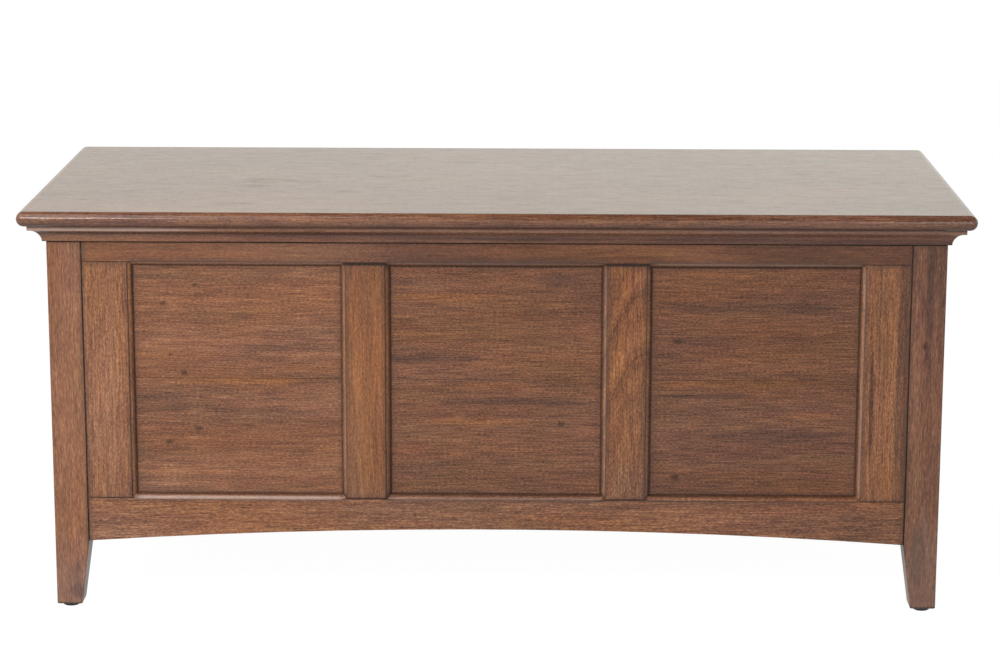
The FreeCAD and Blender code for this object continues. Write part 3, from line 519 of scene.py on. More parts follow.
@dataclass(frozen=True)
class Wood:
    """The finish of one board: its own piece of a tree, its stain, and the glaze in its seams.

    Its tone is how light it is and its gold how warm. Its figure is how strong the coarse grain is, its
    stipple how strong the fine grain, its relief how deep the grain is felt and its smears how unevenly it
    shines. Glaze lies only beyond the opening that is named last.
    """

    grain: Grain
    seed: int
    stain: Stain = BROWN_STAIN
    tone: float = 0.0
    gold: float = 0.0
    figure: float = 1.0
    seams: tuple[Seam, ...] = ()
    openings: tuple[Opening, ...] = ()
    knots: tuple[Knot, ...] = ()
    veils: tuple[Veil, ...] = ()
    flame: "Flame | None" = None
    roughness: float = 0.27
    ior: float = 1.4
    relief: float = 0.3
    stipple: float = 1.0
    flecks: Layer = SHORT_FLECKS
    smears: float = 0.0
    beyond: "Opening | None" = None

    def material(self, name: str) -> bpy.types.Material:
        """Builds the board's material.

        Args:
            name: The material's name.

        Returns:
            The new material.
        """
        shader = Shader(name)
        along, across, through = (shader.place[letter] for letter in self.grain.value)
        shift = self.seed * BOARD_SPACING
        wander = shader.noise(shader.vector(along + shift, across + 2 * shift, through), WANDER)
        swerve = wander.swing(WANDER.weight)
        knots = self._knots(along, across)
        if knots is not None:
            swerve = swerve + knots * KNOT_SWERVE
        board = shader.vector(along + shift, across + 2 * shift + swerve, through + 3 * shift)
        patches, streaks, flecks, haze = (
            shader.noise(board, layer) for layer in (PATCHES, STREAKS, self.flecks, HAZE))
        pores = shader.noise(board, PORES).rise(0.60, 0.70)
        own = self._veils(along, across, haze.swing(1.2) + streaks.swing(0.8))

        figure = (patches.swing(PATCHES.weight) + shader.noise(board, BANDS).swing(BANDS.weight)
                  + streaks.swing(STREAKS.weight))
        stipple = (shader.noise(board, FIBRES).swing(FIBRES.weight) + flecks.swing(self.flecks.weight)
                   - pores * PORES.weight)
        tone = own["tone"] + figure * self.figure + stipple * self.stipple
        if self.flame is not None:
            tone = tone + self._flame(along, across, wander)
        colour = self._stained(shader, board, tone, own["gold"])
        clouded = (haze - patches * 0.4).rise(0.30, 0.62) * HAZE.weight + own["grey"]
        colour = shader.mix(clouded, colour, self.stain.cloud)
        colour = shader.mix(shader.noise(board, BLUSH).swing(BLUSH.weight) + 0.5,
                            shader.scaled(colour, GREENED), shader.scaled(colour, REDDENED))
        # paler where veils say so: wear and dust on the feet, painted highlights on the lid's front moulding
        if isinstance(own["pale_tint"], Signal):
            colour = shader.mix(own["pale_tint"], colour, self.stain.pale_tint)
        if knots is not None:
            colour = shader.mix(knots * KNOT_COVER, colour, self.stain.glaze)
        if self.seams or self.openings:
            colour = self._glaze(shader, colour, haze, streaks)
        if self.openings:
            # painted highlights on the moulded edges round the openings
            colour = self._painted_highlights(shader, colour, haze)
            shader.bump(self._quirks(shader), QUIRK_DEPTH)

        dullness = flecks.swing(0.1) + pores * 0.12 + own["dull"] + self.roughness
        if self.smears:
            dullness = dullness + shader.noise(board, SMEARS).swing(self.smears)
        shader.set(Base_Color=colour, IOR=self.ior, Roughness=dullness)
        shader.bump(flecks * 0.7 + streaks * 2.0 - pores, GRAIN_DEPTH, self.relief)
        return shader.material

    def _stained(self, shader: Shader, board: bpy.types.NodeSocket, tone: Signal,
                 gold: object) -> bpy.types.NodeSocket:
        """The stained grain, between its greyer and its more golden shades.

        Args:
            shader: The board's shader.
            board: Where in the tree a spot lies.
            tone: How light the grain is there, round a half.
            gold: How golden the board is, round a half.

        Returns:
            The colour.
        """
        warmth = shader.noise(board, WARMTH).swing(WARMTH.weight)
        return shader.mix(warmth + gold, shader.ramp(tone, self.stain.warmed(-GOLD_REACH)),
                          shader.ramp(tone, self.stain.warmed(GOLD_REACH)))

    def _veils(self, along: Signal, across: Signal, ragged: Signal) -> dict[str, object]:
        """What the board and its soft patches bring to a spot.

        Args:
            along: The place along the grain.
            across: The place across the grain.
            ragged: What breaks the patches' outlines up.

        Returns:
            The tone and the gold, each round a half, and the grey, the pale tint and the dull, each from 0.
        """
        gold_step = 0.5 / GOLD_REACH
        own = {"tone": 0.5 + self.tone, "gold": 0.5 + self.gold * gold_step,
               "grey": 0.0, "pale_tint": 0.0, "dull": 0.0}
        for veil in self.veils:
            distance = ((along - veil.along) / veil.length).length((across - veil.across) / veil.width)
            patch = (distance + ragged).rise(*VEIL_EDGE)
            for name, change in (("tone", veil.tone), ("gold", veil.gold * gold_step), ("grey", veil.grey),
                                 ("pale_tint", veil.pale_tint), ("dull", veil.dull)):
                if change:
                    own[name] = patch * change + own[name]
        return own

    def _knots(self, along: Signal, across: Signal) -> "Signal | None":
        """How deep in a knot a spot lies.

        Args:
            along: The place along the grain.
            across: The place across the grain.

        Returns:
            The depth, 0 to 1, or None for a clear board.
        """
        spots = [((along - knot.along) * 0.6).length(across - knot.across).rise(knot.reach, 0.1 * knot.reach)
                 for knot in self.knots]
        return reduce(Signal.most, spots) if spots else None

    def _flame(self, along: Signal, across: Signal, wander: Signal) -> Signal:
        """How much the arches of a flat-sawn figure lighten or darken a spot.

        Args:
            along: The place along the grain.
            across: The place across the grain.
            wander: The noise that makes the arches uneven.

        Returns:
            The change of tone.
        """
        sideways = across - self.flame.across
        level = along + sideways * sideways * self.flame.steepness + wander.swing(30 * MM)
        return reduce(Signal.__add__, (abs(level - arch.top).rise(arch.reach, 0.0) * arch.shade
                                       for arch in self.flame.arches))

    def _quirks(self, shader: Shader) -> Signal:
        """The relief of the fine grooves that run round the openings' moulded edges.

        Args:
            shader: The board's shader.

        Returns:
            The relief, -1 in a groove and 0 elsewhere.
        """
        return reduce(Signal.most, (
            abs(self._to_opening(shader, opening)[0] - STICKING).rise(1.0 * MM, 0.1 * MM)
            for opening in self.openings)) * -1.0

    def _painted_highlights(self, shader: Shader, colour: bpy.types.NodeSocket, haze: Signal) -> bpy.types.NodeSocket:
        """Paints highlights pale on the moulded edges of the openings, each side by its own painted
        highlight.

        Args:
            shader: The board's shader.
            colour: The colour so far.
            haze: The noise that makes the painted highlights uneven.

        Returns:
            The colour with the painted highlights.
        """
        painted_light = []
        for opening in self.openings:
            outside, _ = self._to_opening(shader, opening)
            places = [shader.place[letter] - middle for letter, middle in zip(opening.axes, opening.middle)]
            crest = (outside.rise(0.25 * STICKING, 0.7 * STICKING)
                     * outside.rise(1.25 * STICKING, 0.85 * STICKING))
            for painted_highlight, axis, hand in opening.sides():
                if painted_highlight:
                    past = places[axis] * hand - opening.half[axis]
                    to_corner = opening.half[1 - axis] - abs(places[1 - axis])
                    painted_light.append(past.rise(0.2 * MM, 1.4 * MM) * to_corner.rise(-5 * MM, 8 * MM)
                                  * crest * painted_highlight)
        if not painted_light:
            return colour
        return shader.mix(reduce(Signal.most, painted_light) * (haze * 1.6 + 0.2).least(1.2), colour,
                          self.stain.pale_tint)

    def _glaze(self, shader: Shader, colour: bpy.types.NodeSocket, haze: Signal,
               streaks: Signal) -> bpy.types.NodeSocket:
        """Lays dark glaze along the seams: a thin line, and a soft shadow of wiped glaze beside it.

        Args:
            shader: The board's shader.
            colour: The colour so far.
            haze: The noise that makes the glaze uneven.
            streaks: The noise that frays its edges.

        Returns:
            The colour with the glaze.
        """
        ragged, unsteady = haze.swing(0.9) + streaks.swing(0.5), streaks.swing(0.9)
        lines, clouds = [], []
        for seam in self.seams:
            distance = abs(shader.place[seam.axis] - seam.place)
            lines.append((distance / seam.line + unsteady).rise(*LINE_EDGE) * seam.dark)
            clouds.append((distance / seam.cloud + ragged).rise(*CLOUD_EDGE) * seam.depth)
        for opening in self.openings:
            outside, inside = self._to_opening(shader, opening)
            from_rebate = outside + abs(inside)
            lines.append((abs(outside - STICKING) / opening.groove + unsteady).rise(*LINE_EDGE) * 0.6)
            lines.append((from_rebate / opening.rebate + unsteady).rise(*LINE_EDGE) * 0.35)
            wiped = ((outside - STICKING) / opening.wiped + ragged).rise(*CLOUD_EDGE)
            clouds.append(wiped * outside.rise(STICKING - 1 * MM, STICKING) * 0.5)
            clouds.append((from_rebate / opening.shadow).rise(1.0, 0.2) * 0.6)
        cloud, line = reduce(Signal.most, clouds), reduce(Signal.most, lines)
        if self.beyond is not None:
            shown = self._to_opening(shader, self.beyond)[0].rise(-1 * MM, 1 * MM)
            cloud, line = cloud * shown, line * shown
        colour = shader.mix(cloud, colour, self.stain.cloud)
        return shader.mix(line * (haze * 0.9 + 0.55), colour, self.stain.glaze)

    def _to_opening(self, shader: Shader, opening: Opening) -> tuple[Signal, Signal]:
        """How far a spot is from the opening's edge.

        Args:
            shader: The board's shader.
            opening: The opening.

        Returns:
            How far outside it is, and how far inside as a negative number, each 0 on the other side.
        """
        first, second = (shader.place[letter] for letter in opening.axes)
        wide = abs(first - opening.middle[0]) - opening.half[0]
        high = abs(second - opening.middle[1]) - opening.half[1]
        return wide.most(0.0).length(high.most(0.0)), wide.most(high).least(0.0)


BLOTCHES = Layer((90, 90, 90), 3.0, 0.6)
BRUSHING = Layer((900, 160, 160))
SCUFFS = Layer((160, 160, 160), 3.0, 0.6)
GRIT = Layer((1500, 1500, 1500), 1.0)


@dataclass(frozen=True)
class Metal:
    """A plated or lacquered metal with fine brushing and a little tarnish."""

    name: str
    bright: Colour
    tarnish: Colour
    roughness: float = 0.32

    def material(self) -> bpy.types.Material:
        """Builds the metal's material.

        Returns:
            The new material.
        """
        shader = Shader(self.name)
        spot = shader.vector(*shader.place.values())
        blotch, brushing = shader.noise(spot, BLOTCHES), shader.noise(spot, BRUSHING)
        colour = shader.mix(blotch.rise(0.45, 0.75) * 0.6, self.bright, self.tarnish)
        shader.set(Base_Color=colour, Metallic=1.0,
                   Roughness=brushing.swing(0.16) + blotch.swing(0.14) + self.roughness)
        shader.bump(brushing, 0.02 * MM, 0.4)
        return shader.material


@dataclass(frozen=True)
class Moulded:
    """A moulded plastic or rubber with a faint texture and scuffs."""

    name: str
    colour: Colour
    pale_tint: Colour
    roughness: float = 0.6

    def material(self) -> bpy.types.Material:
        """Builds the plastic's material.

        Returns:
            The new material.
        """
        shader = Shader(self.name)
        spot = shader.vector(*shader.place.values())
        scuff, grit = shader.noise(spot, SCUFFS), shader.noise(spot, GRIT)
        shader.set(Base_Color=shader.mix(scuff.rise(0.5, 0.75) * 0.5, self.colour, self.pale_tint),
                   Roughness=scuff.swing(0.2) + self.roughness)
        shader.bump(grit, 0.05 * MM, 0.3)
        return shader.material


BRASS = Metal("aged_brass", shade(176, 152, 104), shade(118, 94, 60))
STEEL = Metal("brassed_steel", shade(178, 162, 124), shade(120, 104, 74))
SCREW_STEEL = Metal("brassed_screw_steel", shade(186, 168, 126), shade(116, 98, 66), 0.28)
NYLON = Moulded("black_nylon", shade(40, 36, 34), shade(66, 60, 56))
PAD = Moulded("brown_pad", shade(92, 70, 54), shade(112, 90, 72), 0.75)


# ------------------------------------------------------------------ working a mesh by hand


def dress(piece: bpy.types.Object, material: bpy.types.Material) -> None:
    """Gives the piece the one material."""
    piece.data.materials.clear()
    piece.data.materials.append(material)


def settle(piece: bpy.types.Object, material: bpy.types.Material, body: str, node: str) -> None:
    """Dresses a finished piece and puts it into the frame.

    Args:
        piece: The piece, its place in its mesh.
        material: Its material.
        body: The body that it rides on.
        node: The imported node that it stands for.
    """
    dress(piece, material)
    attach(piece, body)
    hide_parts(node)
    LOG.info("%s: %d faces, on %s, for %s", piece.name, len(piece.data.polygons), body, node)


def keep(node: str, material: bpy.types.Material) -> None:
    """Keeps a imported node's own shape and gives it the material."""
    dress(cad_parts[node], material)
    LOG.info("%s: packed shape, %s", node, material.name)


def take_up(piece: bpy.types.Object) -> None:
    """Makes the piece the only selected and the active one, and opens it in edit mode.

    Args:
        piece: The piece.
    """
    bpy.ops.object.select_all(action="DESELECT")
    bpy.context.view_layer.objects.active = piece
    piece.select_set(True)
    bpy.ops.object.mode_set(mode="EDIT")


def put_down(smooth: float = math.radians(40)) -> None:
    """Leaves edit mode and smooths the shading over edges duller than the angle."""
    bpy.ops.object.mode_set(mode="OBJECT")
    bpy.ops.object.shade_smooth_by_angle(angle=smooth)


def pick(piece: bpy.types.Object, kind: str, wanted: Callable[[object], bool]) -> None:
    """Selects the vertices, edges or faces of the piece in edit mode that are wanted, and no others.

    Args:
        piece: The piece in edit mode.
        kind: VERT, EDGE or FACE.
        wanted: Says whether one of them is wanted.
    """
    bpy.ops.mesh.select_mode(type=kind)
    bpy.ops.mesh.select_all(action="DESELECT")
    work = bmesh.from_edit_mesh(piece.data)
    work.normal_update()
    for part in {"VERT": work.verts, "EDGE": work.edges, "FACE": work.faces}[kind]:
        if wanted(part):
            part.select_set(True)
    work.select_flush_mode()
    bmesh.update_edit_mesh(piece.data)


@dataclass(frozen=True)
class Easing:
    """How a board's sharp edges are sanded: on which sides of its box, along which axis, how far."""

    sides: tuple[str, ...] = ()
    runs: str = ""
    width: float = 0.9 * MM
    segments: int = 2
    sharpest: float = math.radians(150)
    dullest: float = math.radians(28)

    def width_for(self, edge: bmesh.types.BMEdge, planes: Sequence[tuple[int, float]]) -> float:
        """How far an edge is eased, 0 for an edge that is left sharp.

        Args:
            edge: The edge.
            planes: The box sides that eased edges lie on, each as an axis and a place, or none for all.

        Returns:
            The width in metres.
        """
        if len(edge.link_faces) != 2 or not edge.is_convex:
            return 0.0
        if not self.dullest < edge.calc_face_angle() < self.sharpest:
            return 0.0
        ends = [vertex.co for vertex in edge.verts]
        if planes and not any(all(abs(end[axis] - place) < 0.02 * MM for end in ends)
                              for axis, place in planes):
            return 0.0
        way = ends[1] - ends[0]
        if self.runs and abs(way["XYZ".index(self.runs)]) < 0.99 * way.length:
            return 0.0
        breadth = min(face.calc_area() / edge.calc_length() for face in edge.link_faces)
        return round(min(self.width, 0.45 * breadth), 5)


TOUCHING = 0.004 * MM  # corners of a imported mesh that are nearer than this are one
FLAT = math.radians(0.4)  # faces that meet at less than this are one


def eased_copy(node: str, name: str, easing: Easing) -> bpy.types.Object:
    """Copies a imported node, merges the copy's mesh and eases its edges, as a joiner sands a board.

    Args:
        node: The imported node.
        name: The new piece's name.
        easing: Which edges are eased, and how far.

    Returns:
        The new piece, standing where the node does.
    """
    low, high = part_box(node)
    planes = []
    for side in easing.sides:
        axis = "XYZ".index(side[1])
        planes.append((axis, (high if side[0] == "+" else low)[axis]))
    piece = bpy.data.objects.new(name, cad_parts[node].data.copy())
    bpy.context.scene.collection.objects.link(piece)
    take_up(piece)
    bpy.ops.mesh.customdata_custom_splitnormals_clear()
    bpy.ops.mesh.select_all(action="SELECT")
    bpy.ops.mesh.remove_doubles(threshold=TOUCHING)
    bpy.ops.mesh.dissolve_limited(angle_limit=FLAT)
    work = bmesh.from_edit_mesh(piece.data)
    work.normal_update()
    widths = sorted({easing.width_for(edge, planes) for edge in work.edges} - {0.0})
    for width in widths:
        pick(piece, "EDGE", lambda edge: easing.width_for(edge, planes) == width)
        bpy.ops.mesh.bevel(offset=width, segments=easing.segments, affect="EDGES", clamp_overlap=False)
    put_down()
    bpy.ops.object.modifier_add(type="WEIGHTED_NORMAL")
    piece.modifiers[-1].keep_sharp = True
    bpy.ops.object.modifier_apply(modifier=piece.modifiers[-1].name)
    return piece


def turned(name: str, profile: Sequence[tuple[float, float]], sides: int) -> bpy.types.Object:
    """Turns a closed round piece about the upright axis, ring by ring from its lower end.

    Args:
        name: The piece's name.
        profile: The height and radius of each ring, from the lowest.
        sides: How many sides the rings have.

    Returns:
        The piece, its axis through the origin, still in edit mode with its last face picked.
    """
    height, radius = profile[0]
    bpy.ops.object.select_all(action="DESELECT")
    bpy.ops.mesh.primitive_circle_add(vertices=sides, radius=radius, fill_type="NGON",
                                      location=(0, 0, height))
    piece = bpy.context.object
    piece.name = name
    bpy.ops.object.transform_apply(location=True, rotation=True, scale=True)
    take_up(piece)
    bpy.ops.mesh.select_all(action="SELECT")
    for following_height, following_radius in profile[1:]:
        bpy.ops.mesh.extrude_region_move(
            TRANSFORM_OT_translate={"value": (0, 0, following_height - height)})
        scale = following_radius / radius
        bpy.ops.transform.resize(value=(scale, scale, 1), center_override=(0, 0, following_height))
        height, radius = following_height, following_radius
    return piece


def close_up(smooth: float = math.radians(40)) -> None:
    """Points the turned piece's faces outwards, leaves edit mode and smooths the shading.

    Args:
        smooth: Edges that are duller than this are smoothed.
    """
    bpy.ops.mesh.select_all(action="SELECT")
    bpy.ops.mesh.remove_doubles(threshold=0.002 * MM)
    bpy.ops.mesh.normals_make_consistent(inside=False)
    put_down(smooth)


def set_out(model: bpy.types.Object, name: str, spots: Sequence[tuple[Spot, Spot]]) -> bpy.types.Object:
    """Copies a model to each spot and joins the copies into one piece.

    Args:
        model: The model, its axis upright through the origin.
        name: The joined piece's name.
        spots: Where each copy's origin goes, and which way its axis points there.

    Returns:
        The joined piece.
    """
    copies = []
    for place, way in spots:
        copy = bpy.data.objects.new(name, model.data.copy())
        bpy.context.scene.collection.objects.link(copy)
        copy.rotation_mode = "QUATERNION"
        copy.rotation_quaternion = Vector(way).to_track_quat("Z", "Y")
        copy.location = place
        copies.append(copy)
    bpy.ops.object.select_all(action="DESELECT")
    for copy in copies:
        copy.select_set(True)
    bpy.context.view_layer.objects.active = copies[0]
    bpy.ops.object.transform_apply(location=True, rotation=True, scale=True)
    if len(copies) > 1:
        bpy.ops.object.join()
    copies[0].name = name
    return copies[0]


def discard(model: bpy.types.Object) -> None:
    """Removes a model that copies were made of."""
    bpy.data.objects.remove(model)


# ------------------------------------------------------------------ the case


@dataclass(frozen=True)
class Board:
    """One board of the chest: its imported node, its wood and its easing.

    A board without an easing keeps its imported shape.
    """

    node: str
    wood: Wood
    easing: "Easing | None" = None

    def build(self, body: str, slot: str) -> None:
        """Works the board and dresses it.

        Args:
            body: The body that it rides on.
            slot: The record's slot that its finish belongs to; not used.
        """
        material = self.wood.material(f"{self.node}_wood")
        if self.easing is None:
            keep(self.node, material)
        else:
            piece = eased_copy(self.node, f"{self.node}_board", self.easing)
            settle(piece, material, body, self.node)


@dataclass
class Layout:
    """Where the case's seams lie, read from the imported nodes."""

    tongue: float = 7 * MM

    def __post_init__(self) -> None:
        """Reads the nodes' boxes."""
        low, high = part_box("front_left_leg")
        self.leg_inner = -high.x
        self.front_leg_back = high.y
        self.rear_leg_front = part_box("rear_left_leg")[0].y
        self.top = high.z
        self.foot = low.z
        self.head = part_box("front_top_rail")[0].z
        self.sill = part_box("front_bottom_rail")[1].z
        self.upper_joint = self.head + STICKING
        self.lower_joint = self.sill - STICKING
        self.back_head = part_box("back_top_rail")[0].z

    def opening(self, panel: str, axes: str, painted_highlight: Sides = Opening.painted_highlight) -> Opening:
        """The opening that a panel shows through.

        Args:
            panel: The panel's node.
            axes: The two axes that the panel's face lies on.
            painted_highlight: How pale the edge is painted as highlight on its lower, upper, left and right
                side.

        Returns:
            The opening.
        """
        low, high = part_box(panel)
        axis = "XYZ".index(axes[0])
        start, end = low[axis] + self.tongue, high[axis] - self.tongue
        return Opening(axes, ((start + end) / 2, (self.sill + self.head) / 2),
                       ((end - start) / 2, (self.head - self.sill) / 2), painted_highlight)


LAYOUT = Layout()
LEG_WOOD = Wood(Grain.FRONT_UPRIGHT, 11, gold=-0.4, figure=0.55, stipple=0.8, flecks=LONG_FLECKS)


@dataclass
class Legs:
    """The four tapered legs, each with its own wood."""

    easing: Easing = Easing(("-X", "+X", "-Y", "+Y", "-Z"), width=1.1 * MM)
    front_left: Wood = replace(LEG_WOOD, tone=0.055, veils=(
        Veil(0.0, -0.560, 0.11, 0.05, -0.06, -1.8, 0.0, 0.09),
        Veil(0.46, -0.575, 0.16, 0.012, -0.05, 0.5),
        Veil(0.048, -0.5490, 0.024, 0.006, -0.20, -1.2, 0.16),
        Veil(0.023, -0.5500, 0.012, 0.014, -0.26, -0.8, 0.24)))
    front_right: Wood = replace(LEG_WOOD, seed=12, tone=-0.03, knots=(Knot(0.3570, 0.5510, 4 * MM),), veils=(
        Veil(0.0, 0.560, 0.13, 0.05, -0.01, -1.5, 0.0, 0.10),
        Veil(0.25, 0.5850, 0.5, 0.006, 0.06, 0.8),
        Veil(0.42, 0.5560, 0.20, 0.006, -0.12, -0.3, 0.15),
        Veil(0.40, 0.5690, 0.22, 0.004, -0.09, 0.0, 0.10),
        Veil(0.075, 0.5490, 0.045, 0.012, -0.08, 0.4, 0.28),
        Veil(0.48, 0.5650, 0.15, 0.05, -0.12, -0.9, 0.05)))
    rear_left: Wood = replace(LEG_WOOD, seed=13)
    rear_right: Wood = replace(LEG_WOOD, seed=14)

    def build(self) -> None:
        """Works the legs and finishes them."""
        for node, wood, hand, rail_face in (
                ("front_left_leg", self.front_left, -1, LAYOUT.front_leg_back),
                ("front_right_leg", self.front_right, 1, LAYOUT.front_leg_back),
                ("rear_left_leg", self.rear_left, -1, LAYOUT.rear_leg_front),
                ("rear_right_leg", self.rear_right, 1, LAYOUT.rear_leg_front)):
            # the last seam is painted shade along the foot's lower edge
            seams = (Seam("X", hand * LAYOUT.leg_inner, 1.1 * MM), Seam("Y", rail_face),
                     Seam("Z", LAYOUT.top, 0.8 * MM, 4 * MM, 0.3),
                     Seam("Z", LAYOUT.foot, 2.0 * MM, 6 * MM, 0.3, 0.7))
            Board(node, replace(wood, seams=seams), self.easing).build("case", "case_wood")


@dataclass
class FrontFrame:
    """The front of the case: two rails, two end stiles, two muntins and three panels."""

    easing: Easing = Easing(("-Y", "+Y"), width=0.8 * MM)
    glue_line: float = 0.3090
    corner_inset: float = 2.5 * MM
    # each opening's last four numbers are the painted highlights on its moulded edge's lower, upper, left and
    # right side
    left: Opening = LAYOUT.opening("front_panel_left", "XZ", (0.48, 0.12, 0.0, 0.1))
    centre: Opening = LAYOUT.opening("front_panel_centre", "XZ", (0.14, 0.15, 0.0, 0.14))
    right: Opening = LAYOUT.opening("front_panel_right", "XZ", (0.04, 0.24, 0.06, 0.2))
    ends: tuple[Seam, ...] = tuple(Seam("X", hand * LAYOUT.leg_inner, 1.1 * MM) for hand in (-1, 1))
    flame: Flame = Flame(0.1955, (
        Arch(0.345, 4 * MM, -0.22), Arch(0.335, 12 * MM, -0.12), Arch(0.372, 24 * MM, 0.14),
        Arch(0.312, 12 * MM, 0.06), Arch(0.425, 10 * MM, -0.12), Arch(0.446, 12 * MM, 0.14),
        Arch(0.470, 8 * MM, -0.10), Arch(0.262, 10 * MM, -0.05), Arch(0.220, 12 * MM, 0.05)))

    def build(self) -> None:
        """Works the boards and finishes them."""
        self._rails()
        self._uprights()
        self._panels()

    def _rails(self) -> None:
        """The top rail and the arched bottom rail."""
        openings = (self.left, self.centre, self.right)
        self._board("front_top_rail", Wood(
            Grain.FRONT_LEVEL, 21, tone=-0.06, gold=0.2, figure=0.6, stipple=0.55, openings=openings,
            seams=(*self.ends, Seam("Z", LAYOUT.top, 1.1 * MM, 4 * MM, 0.2, 0.4)),
            veils=(Veil(0.50, 0.455, 0.30, 0.06, -0.20), Veil(-0.50, 0.455, 0.25, 0.06, 0.02),
                   Veil(0.0, 0.455, 0.26, 0.06, -0.14, 0.3))))
        self._board("front_bottom_rail", Wood(
            Grain.FRONT_LEVEL, 22, tone=0.025, gold=0.1, figure=0.6, stipple=1.15, openings=openings,
            seams=self.ends,
            veils=(Veil(0.48, 0.13, 0.22, 0.08, -0.07), Veil(-0.50, 0.13, 0.12, 0.08, 0.01, -0.5))))

    def _uprights(self) -> None:
        """The two end stiles, and between them the two muntins with glaze gathered at their shoulders."""
        joints = (Seam("Z", LAYOUT.lower_joint, 1.5 * MM), Seam("Z", LAYOUT.upper_joint, 1.0 * MM))
        shoulders = (Seam("Z", LAYOUT.lower_joint, 2.5 * MM),
                     Seam("Z", LAYOUT.upper_joint - 1.4 * MM, 2.4 * MM, dark=1.1))
        self._board("front_stile_left", Wood(
            Grain.FRONT_UPRIGHT, 23, tone=0.085, gold=0.4, figure=0.62, stipple=1.0,
            seams=(self.ends[0], *joints), openings=(self.left,),
            veils=(Veil(0.46, -0.510, 0.10, 0.06, -0.03),)))
        self._board("front_muntin_left", Wood(
            Grain.FRONT_UPRIGHT, 24, tone=0.02, gold=1.4, figure=0.55, stipple=0.75,
            seams=shoulders, openings=(self.left, self.centre), knots=self._corners("front_muntin_left"),
            veils=(Veil(0.36, -0.182, 0.11, 0.016, 0.06, 0.8),
                   Veil(0.20, -0.172, 0.07, 0.012, 0.04, 0.5),
                   Veil(0.125, -0.176, 0.06, 0.06, -0.02, -1.7),
                   Veil(0.460, -0.176, 0.10, 0.06, -0.06))))
        self._board("front_muntin_right", Wood(
            Grain.FRONT_UPRIGHT, 25, tone=-0.015, gold=1.1, figure=0.45, stipple=1.05, flame=self.flame,
            seams=shoulders, openings=(self.centre, self.right), knots=self._corners("front_muntin_right"),
            veils=(Veil(0.13, 0.180, 0.08, 0.04, 0.0, -1.7),
                   Veil(0.385, 0.1990, 0.055, 0.014, 0.07, 1.2),
                   Veil(0.46, 0.1650, 0.05, 0.008, 0.05, 0.8),
                   Veil(0.44, 0.1760, 0.06, 0.004, -0.08, -0.5),
                   Veil(0.460, 0.1760, 0.10, 0.06, -0.05))))
        self._board("front_stile_right", Wood(
            Grain.FRONT_UPRIGHT, 26, tone=0.045, gold=0.6, figure=0.5, stipple=1.05,
            seams=(self.ends[1], *joints), openings=(self.right,),
            veils=(Veil(0.30, 0.5235, 0.5, 0.009, -0.15, -0.4, 0.18),
                   Veil(0.33, 0.5070, 0.3, 0.006, 0.10, 0.9),
                   Veil(0.27, 0.4845, 0.08, 0.0025, -0.35, 0.0, 0.15))))

    def _panels(self) -> None:
        """The three panels, each glued up from two boards."""
        glued = Seam("Z", self.glue_line, 0.3 * MM, 0.5 * MM, 0.2)
        for node, opening, dark, wood in (
                ("front_panel_left", self.left, 0.35, Wood(
                    Grain.FRONT_LEVEL, 27, figure=0.9,
                    knots=(Knot(-0.4298, 0.4082, 5 * MM), Knot(-0.3882, 0.4318, 4 * MM),
                           Knot(-0.4214, 0.3400, 3 * MM), Knot(-0.4029, 0.3155, 5 * MM),
                           Knot(-0.3855, 0.2420, 5 * MM), Knot(-0.4250, 0.2230, 5 * MM)),
                    veils=(Veil(-0.44, 0.285, 0.05, 0.006, -0.13, -0.6, 0.10),
                           Veil(-0.28, 0.350, 0.10, 0.006, -0.10, -0.6, 0.08),
                           Veil(-0.30, 0.306, 0.11, 0.006, 0.10, 1.4),
                           Veil(-0.42, 0.340, 0.08, 0.006, 0.08, 1.0),
                           Veil(-0.27, 0.262, 0.10, 0.007, -0.08, -0.6, 0.06),
                           Veil(-0.40, 0.385, 0.10, 0.013, -0.05, -0.4, 0.05)))),
                ("front_panel_centre", self.centre, 0.75, Wood(
                    Grain.FRONT_LEVEL, 28, tone=-0.12, gold=0.1, figure=0.6,
                    knots=(Knot(0.0850, 0.2500, 5 * MM),),
                    veils=(Veil(-0.06, 0.417, 0.10, 0.008, 0.08, 1.4),
                           Veil(-0.09, 0.337, 0.09, 0.008, -0.12, -0.6, 0.12),
                           Veil(-0.02, 0.252, 0.10, 0.006, 0.11, 1.6),
                           Veil(-0.04, 0.300, 0.09, 0.007, 0.08, 1.2),
                           Veil(0.02, 0.280, 0.10, 0.006, -0.10, -0.4, 0.10),
                           Veil(0.08, 0.440, 0.05, 0.012, -0.10, -0.8, 0.10)))),
                ("front_panel_right", self.right, 0.7, Wood(
                    Grain.FRONT_LEVEL, 29, tone=-0.15, figure=0.45,
                    knots=(Knot(0.2344, 0.3606, 6 * MM), Knot(0.2330, 0.1780, 6 * MM)),
                    veils=(Veil(0.27, 0.405, 0.10, 0.010, -0.08, -0.6, 0.08),
                           Veil(0.40, 0.405, 0.04, 0.010, -0.12, -0.6, 0.12),
                           Veil(0.31, 0.304, 0.13, 0.009, 0.08, 1.4),
                           Veil(0.27, 0.288, 0.09, 0.004, -0.14, -0.6, 0.12),
                           Veil(0.37, 0.235, 0.10, 0.011, -0.11, -0.6, 0.12),
                           Veil(0.41, 0.262, 0.05, 0.007, 0.07, 1.0))))):
            seams = (*opening.seams(1.3 * MM, 0.3, dark), glued)
            Board(node, replace(wood, seams=seams)).build("case", "panel_wood")

    def _corners(self, muntin: str) -> tuple[Knot, ...]:
        """The glaze gathered at three of a muntin's corners.

        Args:
            muntin: The muntin's node.

        Returns:
            The dark spots.
        """
        low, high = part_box(muntin)
        left, right = low.x + self.corner_inset, high.x - self.corner_inset
        head, sill = LAYOUT.head + self.corner_inset, LAYOUT.sill - self.corner_inset
        return Knot(head, right), Knot(sill, right), Knot(sill, left)

    def _board(self, node: str, wood: Wood) -> None:
        """Works one board of the frame in its own wood."""
        Board(node, wood, self.easing).build("case", "case_wood")


